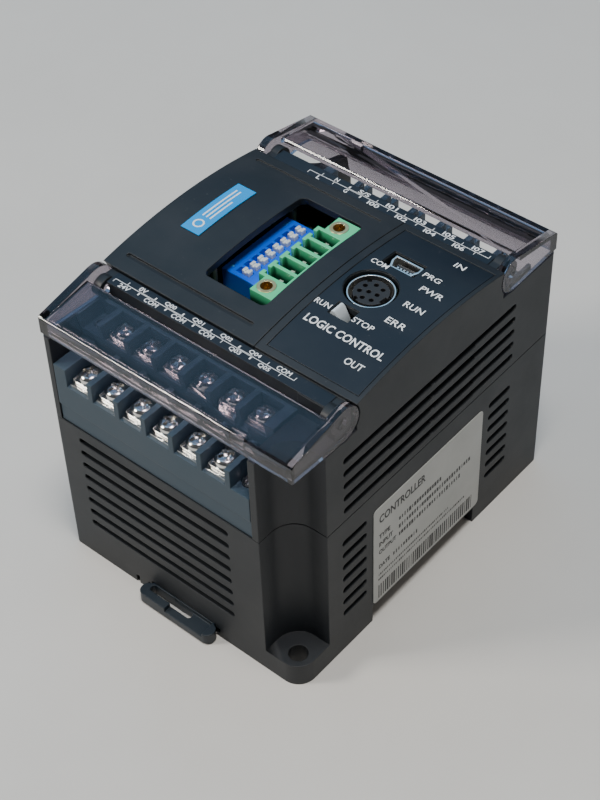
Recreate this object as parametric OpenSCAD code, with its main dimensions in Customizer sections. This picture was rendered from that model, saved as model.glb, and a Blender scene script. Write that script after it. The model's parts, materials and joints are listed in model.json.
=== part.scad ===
// Compact programmable controller lying on its back.
// +Z leaves the front face, +X is the controller's right and +Y its input end.
// The origin is on the back plane, half way between the two mounting holes.

/* [Overall] */
// Width across the controller
body_w = 70; // [70:1:96]
// Length from the output end to the input end
body_l = 90; // [90:1:120]
// Height of the front face's crown above the back plane
crown_z = 76.4; // [75:0.1:92]
// Height of the parting line between the two housings
split_z = 42.8; // [42:0.1:44]
// Rise of the arched front face from its edges to its crown
arch_rise = 2.3; // [1.6:0.1:3]

/* [Housing walls] */
// Thickness of the housings' side walls
wall = 2.3; // [1.8:0.1:2.8]
// Thickness of the lower housing's floor
floor_t = 2.5; // [2:0.1:3.2]
// Thickness of the upper housing's front wall
front_t = 2; // [1.6:0.1:2.6]
// Radius of the housings' vertical corners
corner_r = 1.2; // [0.6:0.1:2]
// Gap left at the parting line
split_gap = 0.25; // [0.1:0.05:0.4]
// Clearance between neighbouring pieces that lift apart
fit_gap = 0.2; // [0.1:0.05:0.3]

/* [Mounting ears] */
// Radius of each mounting hole
ear_hole_r = 2.25; // [1.6:0.05:2.6]
// Distance of each hole's centre from the two faces it is near
ear_inset = 4; // [3.6:0.1:4.6]
// Distance from the hole's centre to the screw channel's walls
channel_reach = 6; // [5:0.1:6.4]
// Height of the ear that the screw head bears on
ear_z = 6.5; // [4:0.1:9]
// Outer corner radius of the ear
ear_r = 4.6; // [2:0.1:4.6]

/* [Rail groove] */
// Width of the groove that takes the mounting rail
groove_w = 38.1; // [36.6:0.1:40]
// Distance of the groove's centre from the origin towards the output end
groove_shift = 0.75; // [0:0.05:1.5]
// Depth of the groove
groove_d = 5; // [4.8:0.1:6]
// Depth that the fixed lips and the clip's hook reach behind the rail's edge
hook_reach = 1.3; // [0.8:0.1:1.6]

/* [Rail clip] */
// Width of the pull loop outside the housing
loop_w = 22; // [20:0.1:26]
// Distance that the pull loop stands out of the housing
loop_out = 4; // [3.6:0.1:6]
// Thickness of the clip
clip_t = 3; // [2.4:0.1:3.2]
// Width of the clip's body inside the housing
clip_w = 19; // [16:0.1:20]
// Travel of the clip from locked to released
clip_travel = 5; // [4:0.1:5.5]

/* [Vent slots] */
// Height of every vent slot
slot_h = 1.7; // [1.2:0.1:2.2]
// Spacing of the lower housing's vent slots
slot_pitch = 3.9; // [3.4:0.1:4.1]
// Number of long slots in each end face
end_slots = 8; // [4:1:8]
// Number of short slots in each column of the side faces
side_slots = 7; // [4:1:7]
// Number of long slots in each side of the upper housing
top_slots = 5; // [3:1:5]

/* [Terminal blocks] */
// Spacing of the terminals in one tier
way_pitch = 7.83; // [7.5:0.01:7.83]
// Number of terminals in one tier
ways = 6; // [4:1:6]
// Width of one terminal's pocket
pocket_w = 6.4; // [6.2:0.1:6.6]
// Depth of the outer tier's pocket floors below the crown
low_drop = 21.5; // [20.4:0.1:23.2]
// Depth of the inner tier's pocket floors below the crown
high_drop = 13.5; // [13.2:0.1:15.4]
// Height of the barriers above their tier's floor
barrier_h = 4.9; // [4:0.1:5]
// Radius of a terminal screw's head
head_r = 2.6; // [2.2:0.1:2.8]
// Radius of a terminal screw's shank
shank_r = 1.5; // [1.2:0.1:1.6]
// Thickness of the contact plates and of the square washers
plate_t = 0.8; // [0.5:0.1:1]

/* [Terminal covers] */
// Depth of the closed cover's outer edge below the crown
cover_drop = 4; // [3.4:0.1:4.4]
// Wall thickness of the clear covers
cover_t = 1.5; // [1.2:0.1:1.8]
// Thickness of the cover's side arms
arm_t = 2; // [1.6:0.1:2.3]
// Radius of the rounded arm end about the hinge axis
arm_r = 4.3; // [4:0.1:4.5]
// Distance of the hinge axis from the controller's end face
hinge_in = 16.3; // [16:0.1:17]
// Depth of the hinge axis below the crown
hinge_drop = 5.2; // [4.9:0.1:5.4]
// Radius of the moulded hinge pins
hinge_pin_r = 1.5; // [1.2:0.1:1.6]
// Radial clearance of the hinge pins in their bores
pin_gap = 0.05; // [0.02:0.01:0.08]

/* [Front face] */
// Distance from each end face to the raised front face
front_in = 20; // [19.8:0.1:20.4]
// Depth of the shelves that carry the terminal names below the crown
strip_drop = 3; // [2.9:0.1:3.4]
// Position of the seam between the removable cover and the fixed front
seam_x = 8.2; // [7:0.1:9]
// Thickness of the removable cover
lid_t = 1.8; // [1.4:0.1:2.2]
// Depth of the recess that holds the front film
film_t = 0.3; // [0.2:0.05:0.4]
// Thickness of the blank name plate
badge_t = 0.3; // [0.2:0.1:0.5]
// Radius of the panel hole round the communication socket
socket_hole_r = 5.9; // [5.5:0.1:6.2]

/* [Circuit boards] */
// Thickness of the circuit boards
board_t = 1.6; // [1:0.1:2]
// Top height of the power board
power_z = 13.6; // [13:0.1:15]
// Depth of the input and output board's top below the parting line
io_drop = 3.2; // [2.8:0.1:3.8]
// Depth of the logic board's top below the crown
logic_drop = 16.4; // [16:0.1:17.4]
// Depth of the expansion board's top below the crown
option_drop = 11.4; // [11.2:0.1:11.8]

/* [Hidden] */
$fn = 48;

// Colours of the pieces
black_plastic = "#24272b";
block_plastic = "#3c4652";
smoked = [0.28, 0.25, 0.32, 0.55];
nickel = "#c9cccd";
board_green = "#1f5b3a";
chip_black = "#17181a";

eps = 0.01;
half_w = body_w / 2;
half_l = body_l / 2;
hump_half = half_l - front_in;
// Radius of the arch through the crown and both edges of the front face
arch_radius = (hump_half * hump_half + arch_rise * arch_rise) / (2 * arch_rise);
ear_x = half_w - ear_inset;
ear_y = half_l - ear_inset;
channel_x = ear_x - channel_reach;
channel_y = ear_y - channel_reach;

// Heights that follow the crown and the parting line
cover_z = crown_z - cover_drop;
hinge_z = crown_z - hinge_drop;
strip_z = crown_z - strip_drop;
low_floor = crown_z - low_drop;
high_floor = crown_z - high_drop;
logic_z = crown_z - logic_drop;
option_z = crown_z - option_drop;
io_z = split_z - io_drop;
sill_z = cover_z - 5.6;
shelf_z = split_z + 5.2;
shelf_t = 2;
skirt_t = 1.8;

// Hinge axis and the shapes that follow it
lip_h = 4.8;
hinge_y = half_l - hinge_in;
arm_in = half_w - arm_t;
cheek_x = arm_in - 0.6;
cheek_t = 2.1;
lug_r = hinge_pin_r + 1.3;
strip_y = hinge_y + 0.6;
panel_y = hinge_y + 2.9;
hump_wall_y = strip_y - 0.4;

// Terminal block plan
block_left = -half_w + wall + fit_gap;
block_right = channel_x - 2;
recess_right = block_right + fit_gap;
keeper_head_r = 1.9;
keeper_low_x = block_right - 3.2;
keeper_high_x = block_left + 3.4;
block_back = hump_wall_y + fit_gap;
low_y = half_l - 4.2;
high_y = half_l - 12;
tier_y = half_l - 8;
low_x = block_left + 6.7;
high_x = low_x + way_pitch / 2;
tail_w = 0.9;
tail_low_y = half_l - 7;
tail_high_y = block_back + 1.5;
block_top = high_floor + barrier_h;

// Rail groove edges and the clip's channel
groove_out = -groove_shift - groove_w / 2;
groove_in = -groove_shift + groove_w / 2;
clip_z = 0.4;
rib_w = 1.2;
rib_t = 1;
clip_gap = 0.4;

// Window of the removable cover and what shows in it
window = [-14.1, -15.9, 17.1, 33.2];
window_r = 1.5;
header_y = 1.9;
header_x = -0.55;
header_h = 10;
header_ways = 5;
header_pitch = 3.81;
header_hole_x = -1.3;
header_hole_step = 12.1;
header_hole_r = 1.35;
insert_r = 1.9;
dip_ways = 8;
dip_pitch = 2.54;
dip_y = 3.5;
dip_x = -11.85;
dip_w = 9.9;
dip_l = 22;
dip_z = option_z + 5;
peg_spots = [[-17.6, -9.2], [-17.1, 17]];
dip_slot = 3.8;
dip_nub = 2.1;
dip_nub_w = 1.5;

// Ports and the mode switch on the fixed front
socket_x = 17.3;
socket_y = 1.8;
socket_r = 5.25;
socket_drop = 0.9;
usb_x = 17.9;
usb_y = 12.6;
usb_w = 7.2;
usb_h = 3.7;
usb_wall = 0.4;
mode_x = 17.25;
mode_y = -7.35;
mode_slot_x = 5.1;
mode_slot_y = 3.7;
mode_nub = 3;
film = [seam_x + 1.8, -hump_half + 1.7, half_w - 1 - seam_x - 1.8, 2 * hump_half - 3.7];
badge = [-27.8, -8, 5.3, 19];

// Places of the indicator lamps: three for the state, then one per input and output
lamp_spots = concat([for (y = [8.4, 2.3, -3.7]) [24.3, y]],
    [for (i = [0 : 7]) [12 + i * 1.65, 20]], [for (i = [0 : 5]) [12 + i * 2.2, -17.5]]);
lamp_r = 0.6;

// Opening under the removable cover
deck_x = seam_x - 1.6;
deck_y = hump_half - 1;

// Pillar positions shared by the three large boards
post_x = half_w - 8;
post_y = 22;
post_r = 2.6;
stud_r = 1.2;
posts = [for (x = [-post_x, post_x], y = [-post_y, post_y]) [x, y]];

function arch_z(y) = crown_z - arch_radius + sqrt(arch_radius * arch_radius - y * y);
function low_ways() = [for (i = [0 : ways - 1]) low_x + i * way_pitch];
function high_ways() = [for (i = [0 : ways - 1]) high_x + i * way_pitch];

// Repeats what belongs to the output end at the input end too
module both_ends() {
    for (turn = [0, 180]) rotate([0, 0, turn]) children();
}

// Turns a drawing made in Y and Z into a solid that runs along X
module along_x(x_low, x_high) {
    translate([x_low, 0, 0]) rotate([90, 0, 90]) linear_extrude(x_high - x_low) children();
}

module box(low, high) {
    translate(low) cube(high - low);
}

module round_square(w, l, r) {
    square([w - 2 * r, l], center = true);
    square([w, l - 2 * r], center = true);
    for (x = [-1, 1], y = [-1, 1]) translate([x * (w / 2 - r), y * (l / 2 - r)]) circle(r);
}

// Stadium with its long side along the first axis
module stadium(length, width) {
    square([length - width, width], center = true);
    for (x = [-1, 1]) translate([x * (length - width) / 2, 0]) circle(width / 2);
}

// Corner taken by one screw channel, larger by grow
module channel_2d(grow) {
    reach = channel_reach + grow;
    translate([ear_x, -ear_y]) {
        circle(reach);
        translate([0, -20]) square([20, 20 + reach]);
        translate([-reach, -20]) square([20 + reach, 20]);
    }
}

// Outline of the housings seen from the front, smaller by inset
module plan(inset) {
    difference() {
        round_square(body_w - 2 * inset, body_l - 2 * inset, max(corner_r - inset, 0.4));
        both_ends() channel_2d(inset);
    }
}

// Shell between two offsets from the arched front surface
module arch_shell(x_low, x_high, low, high, y_low, y_high) {
    along_x(x_low, x_high) intersection() {
        difference() {
            translate([0, crown_z - arch_radius]) circle(arch_radius + high, $fn = 240);
            translate([0, crown_z - arch_radius]) circle(arch_radius + low, $fn = 240);
        }
        translate([y_low, split_z]) square([y_high - y_low, 60]);
    }
}

// Everything under the arched front surface, lowered by drop
module under_arch(x_low, x_high, y_half, z_low, drop) {
    along_x(x_low, x_high) intersection() {
        translate([0, crown_z - arch_radius]) circle(arch_radius - drop, $fn = 240);
        translate([-y_half, z_low]) square([2 * y_half, 90]);
    }
}

// A row of slots cut through an end face, drawn on the XZ plane
module end_face_slots() {
    translate([-5.85, -half_l - 1, 0]) rotate([-90, 0, 0]) linear_extrude(wall + 2)
        for (i = [0 : end_slots - 1]) translate([0, -(split_z - 3.6 - i * slot_pitch)])
            stadium(44.1, slot_h);
}

// Two columns of short slots through both side faces
module side_face_slots() {
    for (y = [-26, 26.4]) translate([-half_w - 1, y, 0]) rotate([90, 0, 90])
        linear_extrude(body_w + 2)
            for (i = [0 : side_slots - 1]) translate([0, split_z - 6.8 - i * slot_pitch])
                stadium(8.2, slot_h);
}

// Long slots through both sides of the upper housing, wider in their middle stretches
module upper_side_slots() {
    for (i = [0 : top_slots - 1]) translate([-half_w - 1, 0.5, split_z + 18.2 - i * 3.75])
        rotate([90, 0, 90]) linear_extrude(body_w + 2) {
            stadium(60, slot_h);
            for (y = [-15, 0.5]) translate([y, -slot_h / 2 - 0.3]) square([14.5, slot_h + 0.3]);
        }
}

module clip_channel() {
    box([-clip_w / 2 - clip_gap, -half_l - 1, -1],
        [clip_w / 2 + clip_gap, groove_out + 1, clip_z + clip_t + clip_gap]);
    box([-clip_w / 2 - rib_w - clip_gap, -half_l - 1, clip_z + clip_t / 2 - rib_t / 2 - 0.3],
        [clip_w / 2 + rib_w + clip_gap, groove_out + 1, clip_z + clip_t / 2 + rib_t / 2 + 0.3]);
}

module lower_cavity() {
    groove_roof = groove_d + wall;
    channel_roof = clip_z + clip_t + clip_gap + wall;
    clip_side = clip_w / 2 + rib_w + clip_gap + wall;
    intersection() {
        linear_extrude(split_z + 1) plan(wall);
        union() {
            box([-half_w, -half_l, groove_roof], [half_w, half_l, split_z + 1]);
            box([-half_w, groove_in + wall, floor_t], [half_w, half_l, split_z]);
            box([-half_w, -half_l, floor_t], [-clip_side, groove_out - wall, split_z]);
            box([clip_side, -half_l, floor_t], [half_w, groove_out - wall, split_z]);
            box([-half_w, -half_l, channel_roof], [half_w, groove_out - wall, split_z]);
        }
    }
}

module ear() {
    difference() {
        union() {
            box([channel_x - wall, -half_l + ear_r, 0], [half_w, -channel_y + wall, ear_z]);
            box([channel_x - wall, -half_l, 0], [half_w - ear_r, -half_l + ear_r + eps, ear_z]);
            translate([half_w - ear_r, -half_l + ear_r, 0]) cylinder(r = ear_r, h = ear_z);
        }
        translate([ear_x, -ear_y, -1]) cylinder(r = ear_hole_r, h = ear_z + 2);
    }
}

module lower_housing() {
    color(black_plastic) difference() {
        union() {
            difference() {
                linear_extrude(split_z) plan(0);
                lower_cavity();
            }
            both_ends() ear();
            // Bosses that the stack of boards stands on
            for (p = posts) translate([p[0], p[1], floor_t]) cylinder(r = 3.2, h = power_z - board_t - floor_t);
            // Tubes that the housing screws pass through
            both_ends() translate([-ear_x, -ear_y, 0]) cylinder(r = 3.6, h = split_z);
            // Tongues that line up the two housings
            for (x = [-1, 1]) translate([x * (half_w - wall * 0.75), 0, split_z])
                cube([wall / 2 - fit_gap, 44, 3], center = true);
        }
        // Groove for the rail, with lips that hook behind the rail's edge
        difference() {
            box([-half_w - 1, groove_out, -1], [half_w + 1, groove_in, groove_d]);
            for (x = [-22, 22]) box([x - 6, groove_in - hook_reach, 0], [x + 6, groove_in + 1, 3.6]);
        }
        clip_channel();
        // Relief slit beside the clip
        box([-15, -half_l - 1, -1], [-14, groove_out - 6, 2.4]);
        both_ends() end_face_slots();
        side_face_slots();
        both_ends() translate([-ear_x, -ear_y, 0]) {
            translate([0, 0, -1]) cylinder(r = 1.8, h = split_z + 2);
            translate([0, 0, -1]) cylinder(r = 3, h = 4);
        }
        for (p = posts) translate([p[0], p[1], power_z - board_t - 6.5]) cylinder(r = stud_r + pin_gap, h = 8);
    }
}

// Space between the end wall and the raised front that holds one terminal block
module block_recess() {
    box([-half_w + wall, -half_l - 1, shelf_z], [recess_right, -hump_wall_y, crown_z + 5]);
    box([-half_w + wall, -half_l - 1, split_z - 1], [recess_right, -half_l + skirt_t + fit_gap, shelf_z + 1]);
}

// Clear space round one terminal block, left free by the cheeks and the screw tubes
module block_room() {
    box([block_left - fit_gap, -half_l - 1, shelf_z], [recess_right, -hump_wall_y, block_top + fit_gap]);
    box([block_left - fit_gap, -half_l - 1, split_z], [recess_right, -half_l + skirt_t + fit_gap, shelf_z + 1]);
}

// Room for the arm of a cover to turn in
module arm_room() {
    for (x = [-1, 1]) translate([x * (half_w + cheek_x) / 2, -hinge_y, hinge_z]) rotate([0, 90, 0])
        cylinder(r = arm_r + 0.4, h = half_w - cheek_x + eps, center = true);
}

module usb_shape(grow) {
    hull() {
        translate([usb_x, usb_y + usb_h / 4]) square([usb_w + 2 * grow, usb_h / 2 + 2 * grow], center = true);
        translate([usb_x, usb_y]) square([usb_w - 1.6 + 2 * grow, usb_h + 2 * grow], center = true);
    }
}

// Openings in the fixed front for the ports and the mode switch
module front_openings(grow) {
    translate([socket_x, socket_y, logic_z]) cylinder(r = socket_hole_r + grow, h = 30);
    box([usb_x - 4.4 - grow, usb_y - 2.3 - grow, logic_z],
        [usb_x + 3.9 + grow, usb_y + 2.3 + grow, crown_z + 1]);
    box([mode_x - mode_slot_x / 2 - grow, mode_y - mode_slot_y / 2 - grow, logic_z],
        [mode_x + mode_slot_x / 2 + grow, mode_y + mode_slot_y / 2 + grow, crown_z + 1]);
}

module upper_housing() {
    color(black_plastic) difference() {
        union() {
            difference() {
                union() {
                    translate([0, 0, split_z + split_gap]) linear_extrude(sill_z - split_z - split_gap) plan(0);
                    under_arch(-half_w, half_w, hump_half, sill_z - 1, 0);
                    box([-cheek_x, -strip_y, sill_z - 1], [cheek_x, strip_y, strip_z]);
                }
                both_ends() block_recess();
                // Space for the boards, below and inside the raised front
                intersection() {
                    linear_extrude(shelf_z - shelf_t) plan(wall);
                    box([-half_w, -half_l + skirt_t + 2 + fit_gap, 0],
                        [half_w, half_l - skirt_t - 2 - fit_gap, shelf_z]);
                }
                box([-half_w + wall, -hump_wall_y + 2, split_z],
                    [half_w - wall, hump_wall_y - 2, sill_z - 1 + eps]);
                under_arch(seam_x, half_w - wall, hump_wall_y - 2, sill_z - 1, front_t);
                box([-half_w + wall, -deck_y, sill_z - 1], [deck_x, deck_y, crown_z + 1]);
                // Seat of the removable cover
                arch_shell(-half_w - 1, seam_x, -lid_t - 0.1, 8, -hump_half - fit_gap, hump_half + fit_gap);
                // Seat of the front film
                arch_shell(film[0], film[0] + film[2], -film_t, 8, film[1], film[1] + film[3]);
            }
            // Cheeks that hold the covers' hinge pins
            both_ends() for (x = [-cheek_x, cheek_x - cheek_t]) {
                translate([x, -hinge_y, hinge_z]) rotate([0, 90, 0]) cylinder(r = lug_r, h = cheek_t);
                box([x, -hinge_y - lug_r / 2, sill_z], [x + cheek_t, -hump_half - fit_gap, strip_z]);
            }
            // Tubes for the housing screws
            both_ends() translate([-ear_x, -ear_y, split_z + split_gap])
                cylinder(r = 2.9, h = shelf_z - split_z - 1);
        }
        both_ends() block_room();
        both_ends() arm_room();
        both_ends() for (x = [-1, 1]) translate([x * cheek_x, -hinge_y, hinge_z]) rotate([0, 90, 0])
            cylinder(r = hinge_pin_r + pin_gap, h = 5.4, center = true);
        upper_side_slots();
        // Rabbets for the tongues of the lower housing
        for (x = [-1, 1]) translate([x * (half_w - wall * 0.75), 0, split_z])
            cube([wall / 2 + fit_gap, 44.6, 4], center = true);
        // Slots under the terminal blocks for the contact tails
        both_ends() for (row = [[low_x, tail_low_y], [high_x, tail_high_y]])
            box([row[0] - 1, -row[1] - 1, shelf_z - shelf_t - 1],
                [row[0] + (ways - 1) * way_pitch + 1, -row[1] + 1, shelf_z + 1]);
        both_ends() translate([-ear_x, -ear_y, split_z]) cylinder(r = 1.3, h = shelf_z - split_z - 1);
        front_openings(0);
        for (p = lamp_spots) translate([p[0], p[1], logic_z]) cylinder(r = lamp_r + 0.1, h = 20);
        both_ends() for (p = [[keeper_high_x, -high_y], [keeper_low_x, -low_y]])
            translate([p[0], p[1], shelf_z - 3]) cylinder(r = shank_r, h = 5);
    }
}

// Removable cover over the expansion port
module expansion_cover() {
    color(black_plastic) difference() {
        union() {
            arch_shell(-half_w, seam_x - fit_gap, -lid_t, 0, -hump_half, hump_half);
            // Skirt that locates the cover inside the upper housing
            difference() {
                under_arch(-half_w + wall + fit_gap, deck_x - fit_gap, deck_y - fit_gap,
                    sill_z + 1, lid_t - 0.2);
                box([-half_w + wall + 1.6, -deck_y + 1.6, 0], [deck_x - 1.6, deck_y - 1.6, crown_z]);
                box([-half_w, -hump_half, 0], [seam_x, hump_half, crown_z - arch_rise - lid_t - 2.4]);
            }
        }
        translate([window[0] + window[2] / 2, window[1] + window[3] / 2, 60])
            linear_extrude(30) round_square(window[2], window[3], window_r);
        // Two long shallow grooves with round ends
        for (y = [-20.8, 21.6]) translate([-13.8, y, arch_z(y) - 0.45]) linear_extrude(5) stadium(36, 1);
        both_ends() arm_room();
    }
}

module front_film() {
    color("#15181c") difference() {
        arch_shell(film[0] + 0.15, film[0] + film[2] - 0.15, -film_t + 0.02, -0.05,
            film[1] + 0.15, film[1] + film[3] - 0.15);
        front_openings(0.15);
    }
}

module name_plate() {
    color("#1ba7e6")
        arch_shell(badge[0], badge[0] + badge[2], 0, badge_t, badge[1], badge[1] + badge[3]);
}

// One pocket open at its outer side, with rounded barrier corners left on each side
module pocket(x, y_out, y_in, floor_z) {
    box([x - pocket_w / 2, -y_out - 1, floor_z], [x + pocket_w / 2, -y_in, floor_z + 20]);
}

module terminal_block() {
    difference() {
        union() {
            // Outer tier, inner tier and the skirt that closes the gap below
            box([block_left, -half_l, shelf_z + 0.05], [block_right, -tier_y, low_floor + barrier_h]);
            box([block_left, -tier_y - eps, shelf_z + 0.05], [block_right, -block_back, block_top]);
            box([block_left, -half_l + 0.3, split_z + split_gap],
                [block_right, -half_l + skirt_t, shelf_z + 0.1]);
        }
        for (x = low_ways()) {
            pocket(x, half_l, tier_y, low_floor);
            translate([x, -low_y, low_floor - 4.5]) cylinder(r = shank_r + 0.05, h = 6);
            box([x - 0.6, -tail_low_y - 0.6, 0], [x + 0.6, -tail_low_y + 0.6, low_floor + 1]);
        }
        for (x = high_ways()) {
            pocket(x, tier_y, block_back + 0.9, high_floor);
            translate([x, -high_y, high_floor - 4.5]) cylinder(r = shank_r + 0.05, h = 6);
            box([x - 0.6, -tail_high_y - 0.6, 0], [x + 0.6, -tail_high_y + 0.6, high_floor + 1]);
        }
        // Pockets and holes of the two retaining screws
        box([low_x + ways * way_pitch - pocket_w / 2, -half_l - 1, low_floor], [block_right + 1, -tier_y, 90]);
        translate([keeper_low_x, -low_y, 0]) cylinder(r = shank_r + 0.1, h = 90);
        translate([keeper_low_x, -low_y, low_floor - 1.2]) cylinder(r = keeper_head_r + 0.1, h = 90);
        box([block_left + 0.8, -tier_y - 1, high_floor],
            [high_x - way_pitch + pocket_w / 2, -block_back - 0.9, 90]);
        translate([keeper_high_x, -high_y, 0]) cylinder(r = shank_r + 0.1, h = 90);
        translate([keeper_high_x, -high_y, high_floor - 1.2]) cylinder(r = keeper_head_r + 0.1, h = 90);
    }
}

// Tail that runs from a contact plate down through the input and output board
module contact_tail(x, y, z_high) {
    box([x - tail_w / 2, -y - tail_w / 2, io_z - 3], [x + tail_w / 2, -y + tail_w / 2, z_high]);
}

module contacts() {
    plate_half = 2.9;
    for (x = low_ways()) {
        difference() {
            box([x - plate_half, -half_l + 0.6, low_floor],
                [x + plate_half, -tail_low_y + tail_w / 2, low_floor + plate_t]);
            translate([x, -low_y, low_floor - 1]) cylinder(r = shank_r + 0.05, h = 4);
        }
        contact_tail(x, tail_low_y, low_floor + eps);
    }
    for (x = high_ways()) {
        difference() {
            box([x - plate_half, -tier_y + 0.4, high_floor],
                [x + plate_half, -tail_high_y + tail_w / 2, high_floor + plate_t]);
            translate([x, -high_y, high_floor - 1]) cylinder(r = shank_r + 0.05, h = 4);
        }
        contact_tail(x, tail_high_y, high_floor + eps);
    }
}

// Square washers with turned-up sides that keep a wire in
module washers() {
    spots = concat([for (x = low_ways()) [x, -low_y, low_floor]],
        [for (x = high_ways()) [x, -high_y, high_floor]]);
    for (p = spots) translate([p[0], p[1], p[2] + plate_t]) difference() {
        union() {
            translate([-2.8, -2.8, 0]) cube([5.6, 5.6, plate_t]);
            for (x = [-2.8, 2.3]) translate([x, -2.8, 0]) cube([0.5, 5.6, plate_t + 0.4]);
        }
        translate([0, 0, -1]) cylinder(r = shank_r + 0.05, h = 4);
        translate([0, 0, plate_t]) cylinder(r = head_r + 0.05, h = 4);
    }
}

// Cross recess pan head screw with its head's underside at the origin
module pan_screw(r, head_h, shank, length) {
    difference() {
        union() {
            cylinder(r = r, h = head_h * 0.55);
            translate([0, 0, head_h * 0.55 - eps]) cylinder(r1 = r, r2 = r * 0.72, h = head_h * 0.45, $fn = 32);
            translate([0, 0, -length]) cylinder(r = shank, h = length + eps, $fn = 24);
        }
        for (a = [0, 90]) rotate([0, 0, a]) translate([-r * 0.62, -r * 0.13, head_h * 0.45])
            cube([r * 1.24, r * 0.26, head_h]);
    }
}

module terminal_screws() {
    lift = 2 * plate_t;
    for (x = low_ways()) translate([x, -low_y, low_floor + lift]) rotate([0, 0, 20])
        pan_screw(head_r, 2, shank_r, 5.6);
    for (x = high_ways()) translate([x, -high_y, high_floor + lift]) rotate([0, 0, 55])
        pan_screw(head_r, 2, shank_r, 5.6);
}

module output_terminal_block() { color(block_plastic) terminal_block(); }
module input_terminal_block() { color(block_plastic) rotate([0, 0, 180]) terminal_block(); }
module output_contacts() { color(nickel) contacts(); }
module input_contacts() { color(nickel) rotate([0, 0, 180]) contacts(); }
module output_washers() { color(nickel) washers(); }
module input_washers() { color(nickel) rotate([0, 0, 180]) washers(); }
module output_screws() { color(nickel) terminal_screws(); }
module input_screws() { color(nickel) rotate([0, 0, 180]) terminal_screws(); }

// Screws that hold the two terminal blocks down
module block_screws() {
    color("#8f9499") both_ends() {
        translate([keeper_low_x, -low_y, low_floor - 1.2])
            pan_screw(keeper_head_r, 2.2, shank_r - 0.05, low_floor - shelf_z - 1.2 + 2);
        translate([keeper_high_x, -high_y, high_floor - 1.2])
            pan_screw(keeper_head_r, 2.2, shank_r - 0.05, high_floor - shelf_z - 1.2 + 2);
    }
}

// Height of the cover's top surface at a distance y from the middle
function cover_top(y) = cover_z + (half_l - y) * 0.14;

// Side view of an arm, from its rounded hinge end to the outer lip
module arm_2d() {
    translate([-hinge_y, hinge_z]) circle(arm_r);
    polygon([[-half_l, cover_z - lip_h], [-half_l, cover_z - 0.5], [-half_l + 0.5, cover_z],
        [-hinge_y - 0.6, hinge_z + arm_r * 0.99], [-hinge_y, hinge_z], [-hinge_y, hinge_z - arm_r + 0.02],
        [-hinge_y - 4, hinge_z - arm_r + 0.05]]);
}

module cover() {
    top_in = cover_top(panel_y);
    pin_from = cheek_x - cheek_t + 0.3;
    for (x = [-1, 1]) {
        along_x(min(x * arm_in, x * half_w), max(x * arm_in, x * half_w)) arm_2d();
        // Hinge pins moulded on the inside of the arms
        translate([x * (arm_in + pin_from) / 2, -hinge_y, hinge_z]) rotate([0, 90, 0])
            cylinder(r = hinge_pin_r, h = arm_in - pin_from + 2 * eps, center = true);
    }
    // Sloping panel and outer lip
    along_x(-arm_in - eps, arm_in + eps) polygon([[-half_l, cover_z - lip_h], [-half_l, cover_z - 0.5],
        [-half_l + 0.5, cover_z], [-panel_y - 0.4, top_in], [-panel_y, top_in - 0.4],
        [-panel_y, top_in - cover_t], [-half_l + cover_t, cover_z - cover_t],
        [-half_l + cover_t, cover_z - lip_h]]);
    // Latch nib behind the lip
    box([recess_right - 5, -half_l + cover_t - eps, cover_z - 4],
        [recess_right - 1.4, -half_l + cover_t + 1, cover_z - 1]);
}

module output_cover() { color(smoked) cover(); }
module input_cover() { color(smoked) rotate([0, 0, 180]) cover(); }

// Printed strips with the terminal names
module marking_strip() {
    strip_x = cheek_x - cheek_t - fit_gap;
    box([-strip_x, -strip_y + 0.2, strip_z], [strip_x, -hump_half - 0.3, strip_z + 0.2]);
}

module output_marking_strip() { color("#101214") marking_strip(); }
module input_marking_strip() { color("#101214") rotate([0, 0, 180]) marking_strip(); }

module rating_label() {
    color("#b9bbb8") translate([half_w, 0.1, 21.4]) rotate([90, 0, 90]) linear_extrude(0.2)
        round_square(39.6, 31.4, 1.2);
}

module rail_clip() {
    tip_y = groove_out + hook_reach + 2;
    loop_y = -half_l - loop_out;
    slot_start = 2 - loop_w / 2;
    slot_end = 3.4;
    top = clip_z + clip_t;
    color("#1d2126") difference() {
        union() {
            // Body with guide ribs, running from the loop to the groove
            box([-clip_w / 2, -half_l - 0.3, clip_z], [clip_w / 2, groove_out + 0.2, top]);
            box([-clip_w / 2 - rib_w, -half_l + clip_travel + 1, clip_z + clip_t / 2 - rib_t / 2],
                [clip_w / 2 + rib_w, groove_out - 1, clip_z + clip_t / 2 + rib_t / 2]);
            // Hook with a sloped lead
            along_x(-clip_w / 2 + 1, clip_w / 2 - 1) polygon([[groove_out, clip_z], [tip_y - 1.6, clip_z],
                [tip_y, clip_z + 2], [tip_y, top], [groove_out, top]]);
            // Pull loop
            translate([0, loop_y + (loop_out - 0.2) / 2, clip_z]) linear_extrude(clip_t)
                round_square(loop_w, loop_out - 0.2, 1.8);
        }
        // Window in the left part of the loop, and the lowered part of its bar
        translate([(slot_end + slot_start) / 2, -half_l - 1.1, clip_z - 1]) linear_extrude(clip_t + 2)
            round_square(slot_end - slot_start, 1.8, 0.7);
        box([-2.4, loop_y - 1, top - 1.1], [loop_w / 2 - 2, -half_l - 0.1, top + 1]);
        // Relief in the middle of the body
        translate([0, -half_l + 12, clip_z - 1]) linear_extrude(clip_t + 2) round_square(8, 12, 2);
    }
}

module usb_shell() {
    top = arch_z(usb_y) - 0.6;
    color(nickel) difference() {
        translate([0, 0, logic_z]) linear_extrude(top - logic_z) usb_shape(0);
        translate([0, 0, logic_z + 6]) linear_extrude(20) usb_shape(-usb_wall);
    }
}

module usb_tongue() {
    top = arch_z(usb_y) - 1.6;
    color(chip_black) box([usb_x - 2.4, usb_y - 0.1, logic_z + 6], [usb_x + 2.4, usb_y + 0.8, top]);
}

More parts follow.
